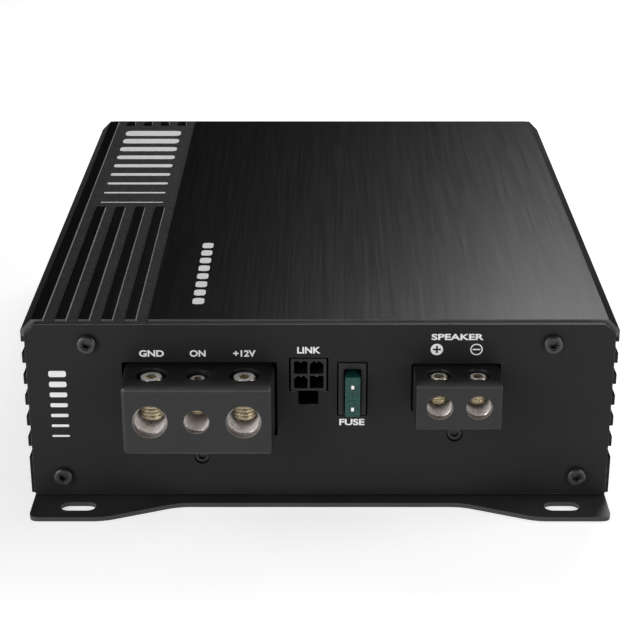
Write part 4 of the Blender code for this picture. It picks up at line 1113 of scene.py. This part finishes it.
def make_printing():
    """Generic labels by function, and plain stripes of even length."""
    for name, text, width, height, x, z in (
        ("label_ground", "GND", 6.2, 1.8, -42.15, 40.8),
        ("label_remote", "ON", 4.0, 1.8, -30.6, 40.8),
        ("label_supply", "+12V", 5.6, 1.8, -18.9, 40.8),
        ("label_link", "LINK", 5.8, 1.8, -2.8, 41.7),
        ("label_fuse", "FUSE", 6.4, 1.8, 8.1, 21.7),
        ("label_speaker", "SPEAKER", 13.0, 1.7, 34.3, 45.3),
    ):
        lettering(name, text, width, height, x, SEAT + z)
    face = ("Y", PANEL_FACE - PRINT, PANEL_FACE + BURIED, "powder_coated_steel", glowing_panel_print)
    x, z = 29.2, SEAT + 41.9
    arm, reach = 0.24, 1.0
    cross = [(x - arm, z - reach), (x + arm, z - reach), (x + arm, z - arm), (x + reach, z - arm)]
    cross += [(x + reach, z + arm), (x + arm, z + arm), (x + arm, z + reach), (x - arm, z + reach)]
    cross += [(x - arm, z + arm), (x - reach, z + arm), (x - reach, z - arm), (x - arm, z - arm)]
    printed("plus_mark", [ring((x, z), 1.55), cross], *face)
    x = 39.1
    printed("minus_ring", [ring((x, z), 1.55), ring((x, z), 1.28)], *face)
    printed("minus_mark", [rectangle((x - 0.95, x + 0.95), (z - 0.16, z + 0.16))], *face)
    lift = ("Z", TOP - BURIED, TOP + PRINT, "anodised_aluminium", white_print)
    for i in range(8):
        near = FRONT + 10.0 + i * 5.8
        printed(f"top_dash_{i + 1}", [bar((-32.6, -29.6), (near, near + 4.0))], *lift)
    deep = ("Z", RECESS_FACE - BURIED, RECESS_FACE + PRINT, "anodised_aluminium", white_print)
    for i in range(9):
        near = FRONT + 91.0 + i * 8.6
        thick = 0.5 + 0.65 * i
        printed(f"recess_stripe_{i + 1}", [bar((-65.6, -47.0), (near, near + thick))], *deep)
    for i in range(7):
        high = SEAT + 36.0 - i * 3.0
        thick = 1.7 - 0.2 * i
        printed(f"panel_stripe_{i + 1}", [bar((-68.3, -63.9), (high - thick, high))], *face)


# ---- what stays as CAD


def finish_inner():
    """The pieces inside the case keep their CAD shape and get real finishes."""
    looks = (
        (board_green, "main_board"),
        (ferrite_grey, "transformer_core", "inductor_core"),
        (copper_wound, "transformer_winding", "inductor_winding"),
        (sleeve_black, "supply_capacitor_1", "supply_capacitor_2", "rail_capacitor"),
        (epoxy_black, "supply_transistor", "output_transistor"),
        (spring_bright, "supply_transistor_clip", "output_transistor_clip"),
    )
    for material, *nodes in looks:
        for node in nodes:
            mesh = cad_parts[node].data
            mesh.materials.clear()
            mesh.materials.append(material)


# ---- stage, light and camera


def make_stage():
    """A pale, evenly lit table, in metres, just low enough not to share a plane with the base."""
    floor_mesh = bpy.data.meshes.new("floor")
    size = 6.0
    level = -0.0001
    corners = [(-size, -size, level), (size, -size, level), (size, size, level), (-size, size, level)]
    floor_mesh.from_pydata(corners, [], [(0, 1, 2, 3)])
    floor_mesh.materials.append(
        surface(
            "lit_table", grey(0.59), grey(0.61), (0.7, 0.8), 40, 400, 0.0,
            Emission_Color=WHITE, Emission_Strength=0.63,
        )
    )
    placed("floor", floor_mesh)


def softbox(name, place, aim, size, power):
    """A square soft light, in metres and watts, that the camera doesn't see."""
    lamp = bpy.data.lights.new(name, "AREA")
    lamp.shape = "SQUARE"
    lamp.size = size
    lamp.energy = power
    obj = placed(name, lamp)
    obj.location = place
    obj.visible_camera = False
    obj.rotation_euler = (Vector(aim) - Vector(place)).to_track_quat("-Z", "Y").to_euler()


def make_light():
    """Small lights close to the case and wide ones far off; the world only shows behind the table."""
    world = bpy.data.worlds.new("studio")
    bpy.context.scene.world = world
    world.use_nodes = True
    background = world.node_tree.nodes["Background"]
    background.inputs["Color"].default_value = WHITE
    background.inputs["Strength"].default_value = 0.95
    rays = world.cycles_visibility
    rays.diffuse = False
    rays.glossy = False
    rays.transmission = False
    rays.scatter = False
    middle = (0.05, 0, 0.04)
    softbox("near_right", (0.5, 0.0, 0.35), middle, 0.3, 1.35)
    softbox("near_rear_right", (0.25, 0.6, 0.5), middle, 0.3, 1.45)
    softbox("near_rear", (0.15, 0.5, 0.6), middle, 0.3, 1.7)
    softbox("left_front", (-1.1, -1.2, 0.9), (0, 0, 0.03), 0.9, 10)
    softbox("near_left", (-0.34, -0.36, 0.11), (-0.03, -0.1, 0.03), 0.14, 0.7)
    softbox("near_right_front", (0.3, -0.36, 0.1), (0, -0.1, 0.03), 0.14, 0.42)
    softbox("left_side", (-1.3, 0.1, 0.8), (0, 0, 0), 0.8, 2.5)


def make_camera():
    """A long lens in front of the terminals, looking down on them."""
    lens = bpy.data.cameras.new("camera")
    lens.lens = 94.92
    lens.sensor_width = 36.0
    lens.clip_start = 0.01
    camera = placed("camera", lens)
    camera.location = (0.0, -0.4748, 0.2144)
    camera.rotation_euler = (math.radians(67.03), 0.0, 0.0)
    bpy.context.scene.camera = camera


make_camera()
make_cover()
make_base()
make_front_panel()
make_rear_panel()
make_screws()
make_clamp_screws()
make_terminals()
make_link_header()
make_link_pins()
make_fuse_holder()
make_fuse()
make_rca()
make_controls()
make_printing()
finish_inner()
make_stage()
make_light()
bpy.context.scene.view_settings.view_transform = "Standard"
